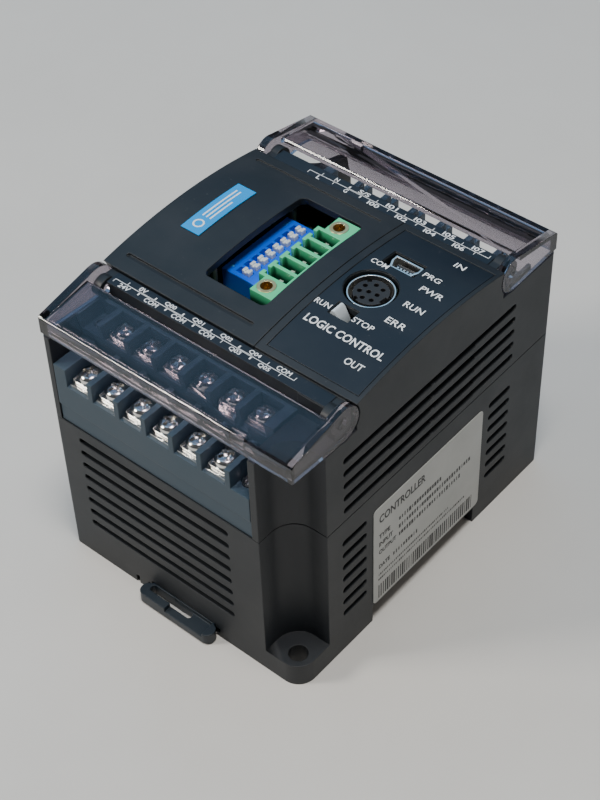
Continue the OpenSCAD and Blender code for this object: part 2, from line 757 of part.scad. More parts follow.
module socket_shell() {
    top = arch_z(socket_y) - socket_drop;
    color(nickel) translate([socket_x, socket_y, logic_z]) difference() {
        cylinder(r = socket_r, h = top - logic_z);
        translate([0, 0, 4]) cylinder(r = socket_r - 0.35, h = 20);
    }
}

module socket_insert() {
    top = arch_z(socket_y) - socket_drop - 0.3;
    // Eight contact holes in rows of three, three and two
    pins = concat([for (y = [-1.95, 0.05, 2.05]) [1.55, y]], [for (y = [-2.4, -0.2, 2.4]) [-0.5, y]],
        [for (y = [-1.05, 0.95]) [-2.3, y]]);
    color(chip_black) translate([socket_x, socket_y, logic_z + 4]) difference() {
        cylinder(r = 3.95, h = top - logic_z - 4);
        for (p = pins) translate([p[0], p[1], 5]) cylinder(r = 0.55, h = 20, $fn = 24);
        for (key = [[-7, 1], [133, 0.5], [245, 0.5]]) rotate([0, 0, key[0]])
            translate([3.3, -key[1], 4]) cube([2, 2 * key[1], 20]);
    }
}

module mode_switch_body() {
    color(chip_black) difference() {
        box([mode_x - 4.5, mode_y - 2.8, logic_z], [mode_x + 4.5, mode_y + 2.8, logic_z + 11]);
        box([mode_x - 2.6, mode_y - 1.8, logic_z + 7], [mode_x + 2.6, mode_y + 1.8, logic_z + 12]);
    }
}

module mode_lever() {
    top = arch_z(mode_y) + 0.5;
    x = mode_x - mode_slot_x / 2 + 0.15;
    color("#c8ccd0") union() {
        translate([0, mode_y + 1.6, 0]) rotate([90, 0, 0]) linear_extrude(3.2)
            polygon([[x, logic_z + 11.4], [x, top - 1.2], [x + 0.5, top - 0.2], [x + 1, top],
                [x + 1.5, top - 0.3], [x + mode_nub, top - 3], [x + mode_nub, logic_z + 11.4]]);
        box([x, mode_y - 1.5, logic_z + 7.3], [x + mode_nub, mode_y + 1.5, logic_z + 11.5]);
    }
}

module dip_switch_body() {
    color("#1550c8") difference() {
        box([dip_x - dip_w / 2, dip_y - dip_l / 2, option_z], [dip_x + dip_w / 2, dip_y + dip_l / 2, dip_z]);
        for (i = [0 : dip_ways - 1]) translate([dip_x, dip_y + (i - (dip_ways - 1) / 2) * dip_pitch, 0])
            box([-dip_slot / 2, -dip_nub_w / 2 - 0.12, dip_z - 2.4],
                [dip_slot / 2, dip_nub_w / 2 + 0.12, dip_z + 1]);
    }
}

// Slider number 1 is at the output end
module dip_lever(number) {
    y = dip_y + (number - (dip_ways + 1) / 2) * dip_pitch;
    color("#e8ecef") translate([dip_x + dip_slot / 2 - 0.15 - dip_nub, y, 0])
        difference() {
            box([0, -dip_nub_w / 2, dip_z - 2.1], [dip_nub, dip_nub_w / 2, dip_z + 0.9]);
            box([0.75, -1, dip_z + 0.5], [dip_nub - 0.75, 1, dip_z + 2]);
        }
}

module header_body() {
    mid_l = header_ways * header_pitch + 0.8;
    color("#36a96b") translate([header_x, header_y, option_z]) difference() {
        union() {
            translate([-3.05, -14.9, 0]) cube([6.1, 29.8, header_h]);
            translate([-4.85, -mid_l / 2, 0]) cube([7.9, mid_l, header_h]);
        }
        for (i = [0 : header_ways - 1]) translate([0, (i - (header_ways - 1) / 2) * header_pitch, 0]) {
            translate([-3.9, -1.45, 1.6]) cube([6, 2.9, 20]);
            translate([-5, -0.6, header_h - 3]) cube([2, 1.2, 10]);
        }
        for (y = [-header_hole_step, header_hole_step])
            translate([header_hole_x - header_x, y, 2]) cylinder(r = insert_r, h = 20);
    }
}

module header_pins() {
    color("#d8d9d2") for (i = [0 : header_ways - 1])
        translate([header_hole_x, header_y + (i - (header_ways - 1) / 2) * header_pitch, option_z + 1.6])
            translate([-0.5, -0.5, 0]) cube([1, 1, 6.6]);
}

// Brass threaded inserts in the header's flanges
module header_inserts() {
    color("#c79a3e") for (y = [-header_hole_step, header_hole_step])
        translate([header_hole_x, header_y + y, option_z + 2]) difference() {
            union() {
                cylinder(r = insert_r - 0.02, h = header_h - 2);
                translate([0, 0, header_h - 2]) cylinder(r = insert_r + 0.25, h = 0.12);
            }
            translate([0, 0, 1]) cylinder(r = header_hole_r, h = 20);
        }
}

module expansion_board() {
    color(board_green) difference() {
        box([-24, -21, option_z - board_t], [5.4, 21.4, option_z]);
        for (p = peg_spots) translate([p[0], p[1], option_z - 3]) cylinder(r = 1.05, h = 6);
    }
}

// White posts that space the expansion board from the cover
module expansion_posts() {
    color("#d9dad6") for (p = peg_spots) translate([p[0], p[1], logic_z]) {
        cylinder(r = 1.6, h = option_z - board_t - logic_z);
        cylinder(r = 1, h = option_z + 0.5 - logic_z, $fn = 24);
        translate([0, 0, option_z - logic_z]) cylinder(r = 1.3, h = 1, $fn = 24);
        translate([0, 0, option_z - logic_z]) cylinder(r = 0.8, h = 5.6, $fn = 24);
    }
}

module board_connector() {
    color(chip_black) box([-23, -16, logic_z], [-20, 10, option_z - board_t]);
}

// A board inside the lower housing leaves out the two screw channels
module corner_board(z) {
    translate([0, 0, z - board_t]) linear_extrude(board_t) difference() {
        square([body_w - 2 * wall - 1.4, body_l - 2 * wall - 1.4], center = true);
        both_ends() channel_2d(wall + 0.7);
        for (p = posts) translate(p) circle(stud_r + 0.1);
        both_ends() translate([-ear_x, -ear_y]) circle(4.1);
    }
}

module logic_board() {
    color(board_green) difference() {
        box([-half_w + wall + 0.5, -hump_wall_y + 2.5, logic_z - board_t],
            [half_w - wall - 0.5, hump_wall_y - 2.5, logic_z]);
        for (p = posts) translate([p[0], p[1], logic_z - 5]) cylinder(r = stud_r + 0.1, h = 9);
    }
}

module processor() {
    color(chip_black) translate([-4, 0, logic_z - board_t - 1.4]) {
        translate([-7, -7, 0]) cube([14, 14, 1.2]);
        for (a = [0 : 90 : 270], i = [-5.5 : 1 : 5.5]) rotate([0, 0, a])
            translate([i - 0.2, -8, 0.5]) cube([0.4, 1.1, 0.9]);
    }
}

module interface_chips() {
    color(chip_black) for (y = [-14, 12]) translate([-26, y, logic_z]) cube([2.6, 5, 1.2]);
    color(chip_black) for (x = [12, 20]) translate([x, -16, logic_z - board_t - 1.3]) cube([5, 8, 1.3]);
}

module status_leds() {
    color("#dfe6d8") for (p = lamp_spots) translate([p[0] - 0.4, p[1] - 0.6, logic_z]) cube([0.8, 1.2, 0.8]);
}

// Clear light guides between the lamps and the front film
module light_guides() {
    color([0.8, 0.85, 0.9, 0.6]) for (p = lamp_spots)
        translate([p[0], p[1], logic_z + 0.85])
            cylinder(r = lamp_r, h = arch_z(abs(p[1]) + lamp_r) - film_t - logic_z - 0.95, $fn = 16);
}

module io_board() {
    color(board_green) difference() {
        corner_board(io_z);
        both_ends() {
            for (x = low_ways()) box([x - 0.6, -tail_low_y - 0.6, 0], [x + 0.6, -tail_low_y + 0.6, 90]);
            for (x = high_ways()) box([x - 0.6, -tail_high_y - 0.6, 0], [x + 0.6, -tail_high_y + 0.6, 90]);
        }
    }
}

module relays() {
    color("#222a44") for (i = [0 : 5]) translate([-19.6 + i * 7.83 - 2.5, -25, io_z]) cube([5, 20, 12.5]);
}

module optocouplers() {
    color("#d8d4c8") for (i = [0 : 7]) translate([-23.4 + i * 6, 13, io_z]) cube([4.6, 6.5, 3.5]);
}

module power_board() { color(board_green) corner_board(power_z); }

module transformer_core() {
    color("#3a3c40") difference() {
        box([-24, -11, power_z], [-4, 13, power_z + 18]);
        box([-25, -7, power_z + 4], [-3, 9, power_z + 14]);
    }
}

module transformer_winding() {
    color("#d9b23c") box([-22.5, -6.8, power_z + 4.2], [-5.5, 8.8, power_z + 13.8]);
}

module capacitors() {
    color("#23272e") for (p = [[8, -8, 5.6, 20], [8, 8, 5.6, 20], [20, 6, 4, 14], [20, -6, 4, 14]])
        translate([p[0], p[1], power_z]) cylinder(r = p[2], h = p[3]);
}

module mains_fuse() {
    color("#cfd6d8") translate([-20, 28, power_z + 5]) rotate([0, 90, 0]) {
        cylinder(r = 2.3, h = 20, $fn = 32);
        for (z = [0, 14]) translate([0, 0, z]) cylinder(r = 2.6, h = 6);
    }
    color("#cfd6d8") for (x = [-19, -5]) box([x, 26, power_z], [x + 4, 30, power_z + 3]);
}

// Hexagonal pillars with a stud below and a threaded hole above
module pillar(z_low, z_high, stud_len) {
    difference() {
        union() {
            translate([0, 0, z_low]) cylinder(r = post_r, h = z_high - z_low, $fn = 6);
            translate([0, 0, z_low - stud_len]) cylinder(r = stud_r - pin_gap, h = stud_len + 1);
        }
        translate([0, 0, z_high - 7]) cylinder(r = stud_r, h = 8);
    }
}

module board_pillars() {
    color("#c8a654") for (p = posts) translate([p[0], p[1], 0]) {
        pillar(power_z, io_z - board_t, board_t + 5.6);
        pillar(io_z, logic_z - board_t, board_t + 5);
    }
}

module board_screws() {
    color(nickel) for (p = posts) translate([p[0], p[1], logic_z])
        pan_screw(2.3, 1.6, stud_r - pin_gap, board_t + 5);
}

// Long screws that clamp the two housings from the back
module housing_screws() {
    color("#6d7074") both_ends() translate([-ear_x, -ear_y, 3]) rotate([180, 0, 0])
        pan_screw(2.7, 2, 1.25, split_z);
}

lower_housing();
upper_housing();
expansion_cover();
front_film();
name_plate();
output_terminal_block();
input_terminal_block();
output_contacts();
input_contacts();
output_washers();
input_washers();
output_screws();
input_screws();
block_screws();
output_marking_strip();
input_marking_strip();
rating_label();
usb_shell();
usb_tongue();
socket_shell();
socket_insert();
mode_switch_body();
dip_switch_body();
header_body();
header_pins();
header_inserts();
expansion_board();
expansion_posts();
board_connector();
logic_board();
processor();
interface_chips();
status_leds();
light_guides();
io_board();
relays();
optocouplers();
power_board();
transformer_core();
transformer_winding();
capacitors();
mains_fuse();
board_pillars();
board_screws();
housing_screws();
output_cover();
input_cover();
rail_clip();
mode_lever();
dip_lever(1);  // dip_lever_1
dip_lever(2);  // dip_lever_2
dip_lever(3);  // dip_lever_3
dip_lever(4);  // dip_lever_4
dip_lever(5);  // dip_lever_5
dip_lever(6);  // dip_lever_6
dip_lever(7);  // dip_lever_7
dip_lever(8);  // dip_lever_8
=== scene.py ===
import json
import math

import bmesh
import bpy
from mathutils import Matrix, Vector


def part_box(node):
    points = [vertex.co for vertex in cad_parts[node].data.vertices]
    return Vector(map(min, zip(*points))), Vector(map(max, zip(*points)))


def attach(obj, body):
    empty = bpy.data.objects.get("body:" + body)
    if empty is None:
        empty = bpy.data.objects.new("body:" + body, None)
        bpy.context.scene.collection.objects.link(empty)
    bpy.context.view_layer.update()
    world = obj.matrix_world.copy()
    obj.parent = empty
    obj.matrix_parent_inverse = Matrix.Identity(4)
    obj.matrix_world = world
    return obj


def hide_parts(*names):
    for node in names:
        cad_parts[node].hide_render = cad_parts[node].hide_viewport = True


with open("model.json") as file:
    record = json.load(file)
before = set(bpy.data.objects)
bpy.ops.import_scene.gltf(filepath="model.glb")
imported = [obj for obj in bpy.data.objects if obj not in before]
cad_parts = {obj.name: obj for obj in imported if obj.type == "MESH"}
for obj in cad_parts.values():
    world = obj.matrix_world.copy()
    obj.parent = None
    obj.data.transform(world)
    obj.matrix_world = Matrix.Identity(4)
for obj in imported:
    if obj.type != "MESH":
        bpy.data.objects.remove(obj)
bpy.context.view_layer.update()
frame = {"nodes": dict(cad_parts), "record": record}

mm = 0.001
inkHalf = 0.01 * mm  # half the thickness of anything printed
print("frame loaded:", len(frame["nodes"]), "nodes")

bodyOf = {node: body for body, nodes in frame["record"]["behaviour"]["bodies"].items() for node in nodes}


# Shader tree helpers

def addNode(tree, kind, x, y, inputs=None, **settings):
    node = tree.nodes.new(kind)
    node.location = (x, y)
    for key, value in settings.items():
        setattr(node, key, value)
    for key, value in (inputs or {}).items():
        if isinstance(value, bpy.types.NodeSocket):
            tree.links.new(value, node.inputs[key])
        else:
            node.inputs[key].default_value = value
    return node


def mixColour(tree, factor, first, second, x, y, blend="MIX"):
    # socket numbers 0, 6 and 7 are the factor and the two colours of a colour mix
    node = addNode(tree, "ShaderNodeMix", x, y, {0: factor, 6: first, 7: second},
                   data_type="RGBA", blend_type=blend)
    return node.outputs[2]


def mapValue(tree, value, fromLow, fromHigh, toLow, toHigh, x, y):
    node = addNode(tree, "ShaderNodeMapRange", x, y, {
        "Value": value, "From Min": fromLow, "From Max": fromHigh, "To Min": toLow, "To Max": toHigh})
    return node.outputs["Result"]


def maths(tree, operation, first, second, x, y):
    return addNode(tree, "ShaderNodeMath", x, y, {0: first, 1: second}, operation=operation).outputs[0]


def startGroup(name, inputs, outputs):
    tree = bpy.data.node_groups.new(name, "ShaderNodeTree")
    for label, kind, value in inputs:
        socket = tree.interface.new_socket(name=label, in_out="INPUT", socket_type=kind)
        if value is not None:
            socket.default_value = value
    for label, kind in outputs:
        tree.interface.new_socket(name=label, in_out="OUTPUT", socket_type=kind)
    source = addNode(tree, "NodeGroupInput", -900, 0)
    result = addNode(tree, "NodeGroupOutput", 700, 0)
    return tree, source.outputs, result.inputs


def endGroup(tree, results, values):
    for key, value in values.items():
        tree.links.new(value, results[key])
    return tree


# Fine moulded texture: a height for the bump and a slow cloud for colour and gloss
def makeMouldGrain():
    tree, given, results = startGroup("mouldGrain", [
        ("Vector", "NodeSocketVector", None), ("Grain per metre", "NodeSocketFloat", 4000.0),
        ("Cloud per metre", "NodeSocketFloat", 60.0)],
        [("Height", "NodeSocketFloat"), ("Cloud", "NodeSocketFloat")])
    grain = addNode(tree, "ShaderNodeTexNoise", -500, 200, {
        "Vector": given["Vector"], "Scale": given["Grain per metre"], "Detail": 2.0, "Roughness": 0.6})
    pits = addNode(tree, "ShaderNodeTexVoronoi", -500, -50, {
        "Vector": given["Vector"], "Scale": given["Grain per metre"], "Smoothness": 0.6}, feature="SMOOTH_F1")
    cloud = addNode(tree, "ShaderNodeTexNoise", -500, -350, {
        "Vector": given["Vector"], "Scale": given["Cloud per metre"], "Detail": 4.0, "Roughness": 0.65})
    height = maths(tree, "MULTIPLY_ADD", pits.outputs["Distance"], 0.5, -200, 100)
    tree.links.new(grain.outputs["Fac"], height.node.inputs[2])
    cloudy = mapValue(tree, cloud.outputs["Fac"], 0.3, 0.7, 0.0, 1.0, -200, -350)
    return endGroup(tree, results, {"Height": height, "Cloud": cloudy})


# Where the surface turns a corner, broken up so that the edge is uneven, and the rounded normal there: the
# mask carries rubbed wear together with painted edge highlights on plastics, and painted edge shade on the
# smoked plastic
def makeEdgeWearAndLight():
    tree, given, results = startGroup("edgeWearAndLight", [
        ("Vector", "NodeSocketVector", None), ("Width", "NodeSocketFloat", 0.0004),
        ("Break up per metre", "NodeSocketFloat", 500.0)],
        [("Mask", "NodeSocketFloat"), ("Normal", "NodeSocketVector")])
    rounded = addNode(tree, "ShaderNodeBevel", -600, 200, {"Radius": given["Width"]}, samples=4)
    facing = addNode(tree, "ShaderNodeNewGeometry", -600, 0)
    dot = addNode(tree, "ShaderNodeVectorMath", -350, 150, {
        0: rounded.outputs["Normal"], 1: facing.outputs["Normal"]}, operation="DOT_PRODUCT")
    corner = mapValue(tree, dot.outputs["Value"], 0.995, 0.85, 0.0, 1.0, -150, 150)
    noise = addNode(tree, "ShaderNodeTexNoise", -350, -200, {
        "Vector": given["Vector"], "Scale": given["Break up per metre"], "Detail": 3.0})
    patchy = mapValue(tree, noise.outputs["Fac"], 0.35, 0.7, 0.25, 1.0, -150, -200)
    mask = maths(tree, "MULTIPLY", corner, patchy, 150, 50)
    return endGroup(tree, results, {"Mask": mask, "Normal": rounded.outputs["Normal"]})


# Specks and a thin film of dust that settle on what faces up
def makeSettledDust():
    tree, given, results = startGroup("settledDust", [
        ("Vector", "NodeSocketVector", None), ("Specks per metre", "NodeSocketFloat", 900.0)],
        [("Mask", "NodeSocketFloat")])
    specks = addNode(tree, "ShaderNodeTexNoise", -600, 200, {
        "Vector": given["Vector"], "Scale": given["Specks per metre"], "Detail": 2.0, "Roughness": 0.7})
    film = addNode(tree, "ShaderNodeTexNoise", -600, -100, {
        "Vector": given["Vector"], "Scale": 70.0, "Detail": 5.0})
    speck = mapValue(tree, specks.outputs["Fac"], 0.68, 0.78, 0.0, 1.0, -350, 200)
    haze = mapValue(tree, film.outputs["Fac"], 0.4, 0.75, 0.0, 0.35, -350, -100)
    facing = addNode(tree, "ShaderNodeNewGeometry", -600, -400)
    parts = addNode(tree, "ShaderNodeSeparateXYZ", -400, -400, {0: facing.outputs["Normal"]})
    up = mapValue(tree, parts.outputs["Z"], 0.5, 1.0, 0.0, 1.0, -200, -400)
    both = maths(tree, "MAXIMUM", speck, haze, -100, 100)
    return endGroup(tree, results, {"Mask": maths(tree, "MULTIPLY", both, up, 100, 0)})


# Hair lines and smears of handled metal or glossy plastic
def makeScuffs():
    tree, given, results = startGroup("scuffs", [
        ("Vector", "NodeSocketVector", None), ("Smears per metre", "NodeSocketFloat", 200.0),
        ("Lines per metre", "NodeSocketFloat", 1500.0)],
        [("Smear", "NodeSocketFloat"), ("Height", "NodeSocketFloat")])
    stretched = addNode(tree, "ShaderNodeMapping", -650, 200, {
        "Vector": given["Vector"], "Rotation": (0.4, 0.2, 0.7), "Scale": (1.0, 0.08, 1.0)})
    lines = addNode(tree, "ShaderNodeTexNoise", -400, 200, {
        "Vector": stretched.outputs[0], "Scale": given["Lines per metre"], "Detail": 2.0})
    smears = addNode(tree, "ShaderNodeTexNoise", -400, -100, {
        "Vector": given["Vector"], "Scale": given["Smears per metre"], "Detail": 3.0, "Roughness": 0.6})
    smear = mapValue(tree, smears.outputs["Fac"], 0.35, 0.7, 0.0, 1.0, -150, -100)
    return endGroup(tree, results, {"Smear": smear, "Height": lines.outputs["Fac"]})


mouldGrain = makeMouldGrain()
edgeWearAndLight = makeEdgeWearAndLight()
settledDust = makeSettledDust()
scuffs = makeScuffs()


def useGroup(tree, group, x, y, inputs):
    return addNode(tree, "ShaderNodeGroup", x, y, inputs, node_tree=group).outputs


def startMaterial(name):
    material = bpy.data.materials.new(name)
    material.use_nodes = True
    tree = material.node_tree
    tree.nodes.clear()
    place = addNode(tree, "ShaderNodeTexCoord", -1300, 0).outputs["Object"]
    return material, tree, place


def endMaterial(tree, shader):
    addNode(tree, "ShaderNodeOutputMaterial", 500, 0, {"Surface": shader})


def rgba(colour):
    return (*colour, 1.0)


dustColour = (0.42, 0.42, 0.41)


# Moulded plastic: two shades in a slow cloud, edges lightened partly as rubbed wear and partly as a painted
# highlight, dust on top, painted shade lower down where asked, and a fine texture
def plastic(name, look):
    material, tree, place = startMaterial(name)
    grain = useGroup(tree, mouldGrain, -1000, 200, {
        "Vector": place, "Grain per metre": look["grain"], "Cloud per metre": look.get("cloud", 60.0)})
    colour = mixColour(tree, grain["Cloud"], rgba(look["colour"]), rgba(look["shade"]), -600, 300)
    bump = addNode(tree, "ShaderNodeBump", -200, -250, {
        "Height": grain["Height"], "Strength": look["bump"], "Distance": look.get("depth", 0.03) * mm})
    # the edges are lightened partly as rubbed wear and partly as a painted highlight where they catch the
    # lamps
    if look.get("rubbedAndLit"):
        wearAndLight = useGroup(tree, edgeWearAndLight, -1000, 0, {"Vector": place, "Width": look.get("edge", 0.4) * mm})
        tree.links.new(wearAndLight["Normal"], bump.inputs["Normal"])
        amount = maths(tree, "MULTIPLY", wearAndLight["Mask"], look["rubbedAndLit"], -700, 0)
        colour = mixColour(tree, amount, colour, rgba(look["wornAndLit"]), -400, 300)
    if look.get("dust"):
        dust = useGroup(tree, settledDust, -1000, -200, {"Vector": place})
        amount = maths(tree, "MULTIPLY", dust["Mask"], look["dust"], -700, -200)
        colour = mixColour(tree, amount, colour, rgba(dustColour), -200, 300)
    if look.get("paintedDepthShade"):
        # painted shade: darker lower down, inside the pockets and down the outer walls
        parts = addNode(tree, "ShaderNodeSeparateXYZ", -400, 600, {0: place})
        low, high = look["paintedDepthShade"]["from"] * mm, look["paintedDepthShade"]["to"] * mm
        depth = mapValue(tree, parts.outputs["Z"], low, high, 0.0, 1.0, -200, 600)
        colour = mixColour(tree, depth, rgba(look["paintedDepthShade"]["colour"]), colour, 0, 300)
    rough = mapValue(tree, grain["Cloud"], 0.0, 1.0, look["rough"][0], look["rough"][1], -600, 0)
    shader = addNode(tree, "ShaderNodeBsdfPrincipled", 200, 0, {
        "Base Color": colour, "Roughness": rough, "Normal": bump.outputs[0],
        "Specular IOR Level": look.get("gloss", 0.5), "Coat Weight": look.get("coat", 0.0),
        "Coat Roughness": 0.25, "Subsurface Weight": look.get("inner", 0.0),
        "Subsurface Radius": (1.2 * mm, 1.2 * mm, 1.2 * mm)})
    endMaterial(tree, shader.outputs[0])
    return material


# Bare or plated metal with smears in its gloss and hair lines
def metal(name, look):
    material, tree, place = startMaterial(name)
    marks = useGroup(tree, scuffs, -1000, 200, {
        "Vector": place, "Smears per metre": look["smears"], "Lines per metre": look["lines"]})
    colour = mixColour(tree, marks["Smear"], rgba(look["colour"]), rgba(look["shade"]), -600, 300)
    rough = mapValue(tree, marks["Smear"], 0.0, 1.0, look["rough"][0], look["rough"][1], -600, 0)
    bump = addNode(tree, "ShaderNodeBump", -200, -250, {
        "Height": marks["Height"], "Strength": look["bump"], "Distance": 0.01 * mm})
    shader = addNode(tree, "ShaderNodeBsdfPrincipled", 200, 0, {
        "Base Color": colour, "Roughness": rough, "Metallic": 1.0, "Normal": bump.outputs[0]})
    endMaterial(tree, shader.outputs[0])
    return material


# Clear smoked plastic that bends what is behind it and lets the lamps through, with painted shade along its
# edges and corners
def smokedPlastic(name, look):
    material, tree, place = startMaterial(name)
    marks = useGroup(tree, scuffs, -1000, 200, {
        "Vector": place, "Smears per metre": look["smears"], "Lines per metre": look["lines"]})
    colour = mixColour(tree, marks["Smear"], rgba(look["tint"]), rgba(look["deep"]), -600, 300)
    # painted shade: the tint turns darker along the edges and corners
    corners = useGroup(tree, edgeWearAndLight, -1000, 0, {"Vector": place, "Width": look["edge"] * mm})
    colour = mixColour(tree, corners["Mask"], colour, rgba(look["paintedEdgeShade"]), -400, 300)
    rough = mapValue(tree, marks["Smear"], 0.0, 1.0, look["rough"][0], look["rough"][1], -600, 0)
    bump = addNode(tree, "ShaderNodeBump", -200, -250, {
        "Height": marks["Height"], "Strength": 0.02, "Distance": 0.005 * mm})
    body = addNode(tree, "ShaderNodeBsdfPrincipled", 0, 100, {
        "Base Color": colour, "Roughness": rough, "Normal": bump.outputs[0],
        "Transmission Weight": 1.0, "IOR": 1.49})
    clear = addNode(tree, "ShaderNodeBsdfTransparent", 0, -300, {"Color": rgba(look["shadow"])})
    path = addNode(tree, "ShaderNodeLightPath", 0, 400)
    mix = addNode(tree, "ShaderNodeMixShader", 300, 0, {
        0: path.outputs["Is Shadow Ray"], 1: body.outputs[0], 2: clear.outputs[0]})
    endMaterial(tree, mix.outputs[0])
    return material


# Circuit board: lacquer over a maze of tracks and a scatter of tinned pads
def boardLacquer(name, look):
    material, tree, place = startMaterial(name)
    grid = addNode(tree, "ShaderNodeTexBrick", -900, 300, {
        "Vector": place, "Scale": 260.0, "Mortar Size": 0.08, "Mortar Smooth": 0.2,
        "Brick Width": 0.9, "Row Height": 0.35})
    pads = addNode(tree, "ShaderNodeTexVoronoi", -900, 0, {
        "Vector": place, "Scale": 420.0, "Randomness": 0.35})
    pad = mapValue(tree, pads.outputs["Distance"], 0.2, 0.16, 0.0, 1.0, -650, 0)
    track = mapValue(tree, grid.outputs["Fac"], 0.4, 0.6, 1.0, 0.0, -650, 300)
    colour = mixColour(tree, track, rgba(look["colour"]), rgba(look["track"]), -400, 300)
    colour = mixColour(tree, pad, colour, rgba(look["pad"]), -200, 300)
    rough = mapValue(tree, pad, 0.0, 1.0, 0.32, 0.22, -400, 0)
    bump = addNode(tree, "ShaderNodeBump", -200, -250, {
        "Height": track, "Strength": 0.3, "Distance": 0.03 * mm})
    shader = addNode(tree, "ShaderNodeBsdfPrincipled", 200, 0, {
        "Base Color": colour, "Roughness": rough, "Metallic": maths(tree, "MULTIPLY", pad, 0.8, -200, 0),
        "Normal": bump.outputs[0]})
    endMaterial(tree, shader.outputs[0])
    return material


# In each look the edge colour and its amount lighten the edges, partly as rubbed wear and partly as a painted
# highlight
looks = {
    "housing": {"colour": (0.0090, 0.0118, 0.0155), "shade": (0.0115, 0.0145, 0.0185),
                "wornAndLit": (0.05, 0.055, 0.06), "rubbedAndLit": 0.3, "edge": 0.35, "dust": 0.06, "grain": 5200.0,
                "rough": (0.42, 0.52), "bump": 0.3, "gloss": 0.4},
    "film": {"colour": (0.0038, 0.0068, 0.0125), "shade": (0.0052, 0.0088, 0.0155),
             "wornAndLit": (0.05, 0.055, 0.06), "rubbedAndLit": 0.15, "edge": 0.2, "dust": 0.05, "grain": 7000.0,
             "rough": (0.36, 0.44), "bump": 0.2, "gloss": 0.42},
    "block": {"colour": (0.026, 0.050, 0.074), "shade": (0.032, 0.059, 0.085),
              "wornAndLit": (0.10, 0.15, 0.19), "rubbedAndLit": 0.35, "edge": 0.35, "dust": 0.08, "grain": 5000.0,
              "rough": (0.42, 0.52), "bump": 0.22, "gloss": 0.4},
    "clip": {"colour": (0.0080, 0.0145, 0.0225), "shade": (0.0105, 0.0180, 0.0265),
             "wornAndLit": (0.05, 0.07, 0.09), "rubbedAndLit": 0.35, "edge": 0.4, "dust": 0.06, "grain": 4800.0,
             "rough": (0.36, 0.46), "bump": 0.25, "gloss": 0.4},
    # the header is darkened lower down as painted shade
    "header": {"colour": (0.080, 0.560, 0.270), "shade": (0.065, 0.500, 0.235),
               "wornAndLit": (0.35, 0.85, 0.60), "rubbedAndLit": 0.35, "edge": 0.2, "grain": 6000.0,
               "rough": (0.30, 0.40), "bump": 0.12,
               "paintedDepthShade": {"from": 72.6, "to": 74.9, "colour": (0.006, 0.080, 0.040)}},
    "dip": {"colour": (0.000, 0.130, 0.880), "shade": (0.000, 0.105, 0.780), "wornAndLit": (0.05, 0.32, 0.95),
            "rubbedAndLit": 0.25, "edge": 0.2, "grain": 7000.0, "rough": (0.26, 0.36), "bump": 0.1},
    "white": {"colour": (0.78, 0.83, 0.87), "shade": (0.70, 0.76, 0.81), "wornAndLit": (0.9, 0.92, 0.94),
              "rubbedAndLit": 0.2, "edge": 0.15, "grain": 7000.0, "rough": (0.30, 0.42), "bump": 0.12,
              "inner": 0.1},
    "peg": {"colour": (0.16, 0.17, 0.18), "shade": (0.12, 0.13, 0.14), "wornAndLit": (0.6, 0.62, 0.65),
            "rubbedAndLit": 0.8, "edge": 0.3, "grain": 6000.0, "rough": (0.32, 0.44), "bump": 0.15},
    "lever": {"colour": (0.60, 0.67, 0.72), "shade": (0.54, 0.61, 0.66), "wornAndLit": (0.75, 0.8, 0.83),
              "rubbedAndLit": 0.35, "edge": 0.25, "grain": 6000.0, "rough": (0.32, 0.44), "bump": 0.15,
              "inner": 0.1},
    "plate": {"colour": (0.000, 0.290, 0.720), "shade": (0.000, 0.260, 0.670),
              "wornAndLit": (0.40, 0.80, 0.95), "rubbedAndLit": 0.8, "edge": 0.1, "grain": 8000.0,
              "rough": (0.40, 0.48), "bump": 0.05, "gloss": 0.15},
    "label": {"colour": (0.42, 0.43, 0.42), "shade": (0.37, 0.38, 0.37), "wornAndLit": (0.6, 0.6, 0.6),
              "rubbedAndLit": 0.3, "edge": 0.2, "grain": 3500.0, "rough": (0.36, 0.48), "bump": 0.1},
    "insulator": {"colour": (0.016, 0.017, 0.020), "shade": (0.024, 0.025, 0.028),
                  "wornAndLit": (0.10, 0.10, 0.11), "rubbedAndLit": 0.25, "edge": 0.2, "grain": 6500.0,
                  "rough": (0.42, 0.54), "bump": 0.2, "gloss": 0.35},
    "blueInk": {"colour": (0.10, 0.42, 0.90), "shade": (0.08, 0.36, 0.80), "grain": 9000.0,
                "rough": (0.4, 0.5), "bump": 0.1},
    "ink": {"colour": (0.80, 0.82, 0.84), "shade": (0.68, 0.71, 0.74), "grain": 9000.0,
            "rough": (0.5, 0.6), "bump": 0.15},
    "darkInk": {"colour": (0.015, 0.015, 0.016), "shade": (0.03, 0.03, 0.032), "grain": 9000.0,
                "rough": (0.5, 0.6), "bump": 0.15},
    "relay": {"colour": (0.020, 0.035, 0.110), "shade": (0.025, 0.042, 0.130), "wornAndLit": (0.1, 0.12, 0.2),
              "rubbedAndLit": 0.3, "edge": 0.3, "grain": 5000.0, "rough": (0.3, 0.4), "bump": 0.15},
    "coupler": {"colour": (0.55, 0.52, 0.45), "shade": (0.48, 0.45, 0.38), "grain": 5000.0,
                "rough": (0.35, 0.45), "bump": 0.15},
    "ferrite": {"colour": (0.035, 0.036, 0.040), "shade": (0.05, 0.05, 0.055), "grain": 3000.0,
                "rough": (0.5, 0.65), "bump": 0.4},
    "tape": {"colour": (0.65, 0.42, 0.05), "shade": (0.58, 0.36, 0.04), "grain": 2500.0,
             "rough": (0.28, 0.4), "bump": 0.1},
    "guide": {"colour": (0.60, 0.65, 0.70), "shade": (0.52, 0.58, 0.62), "grain": 6000.0,
              "rough": (0.15, 0.25), "bump": 0.05, "inner": 0.3}}

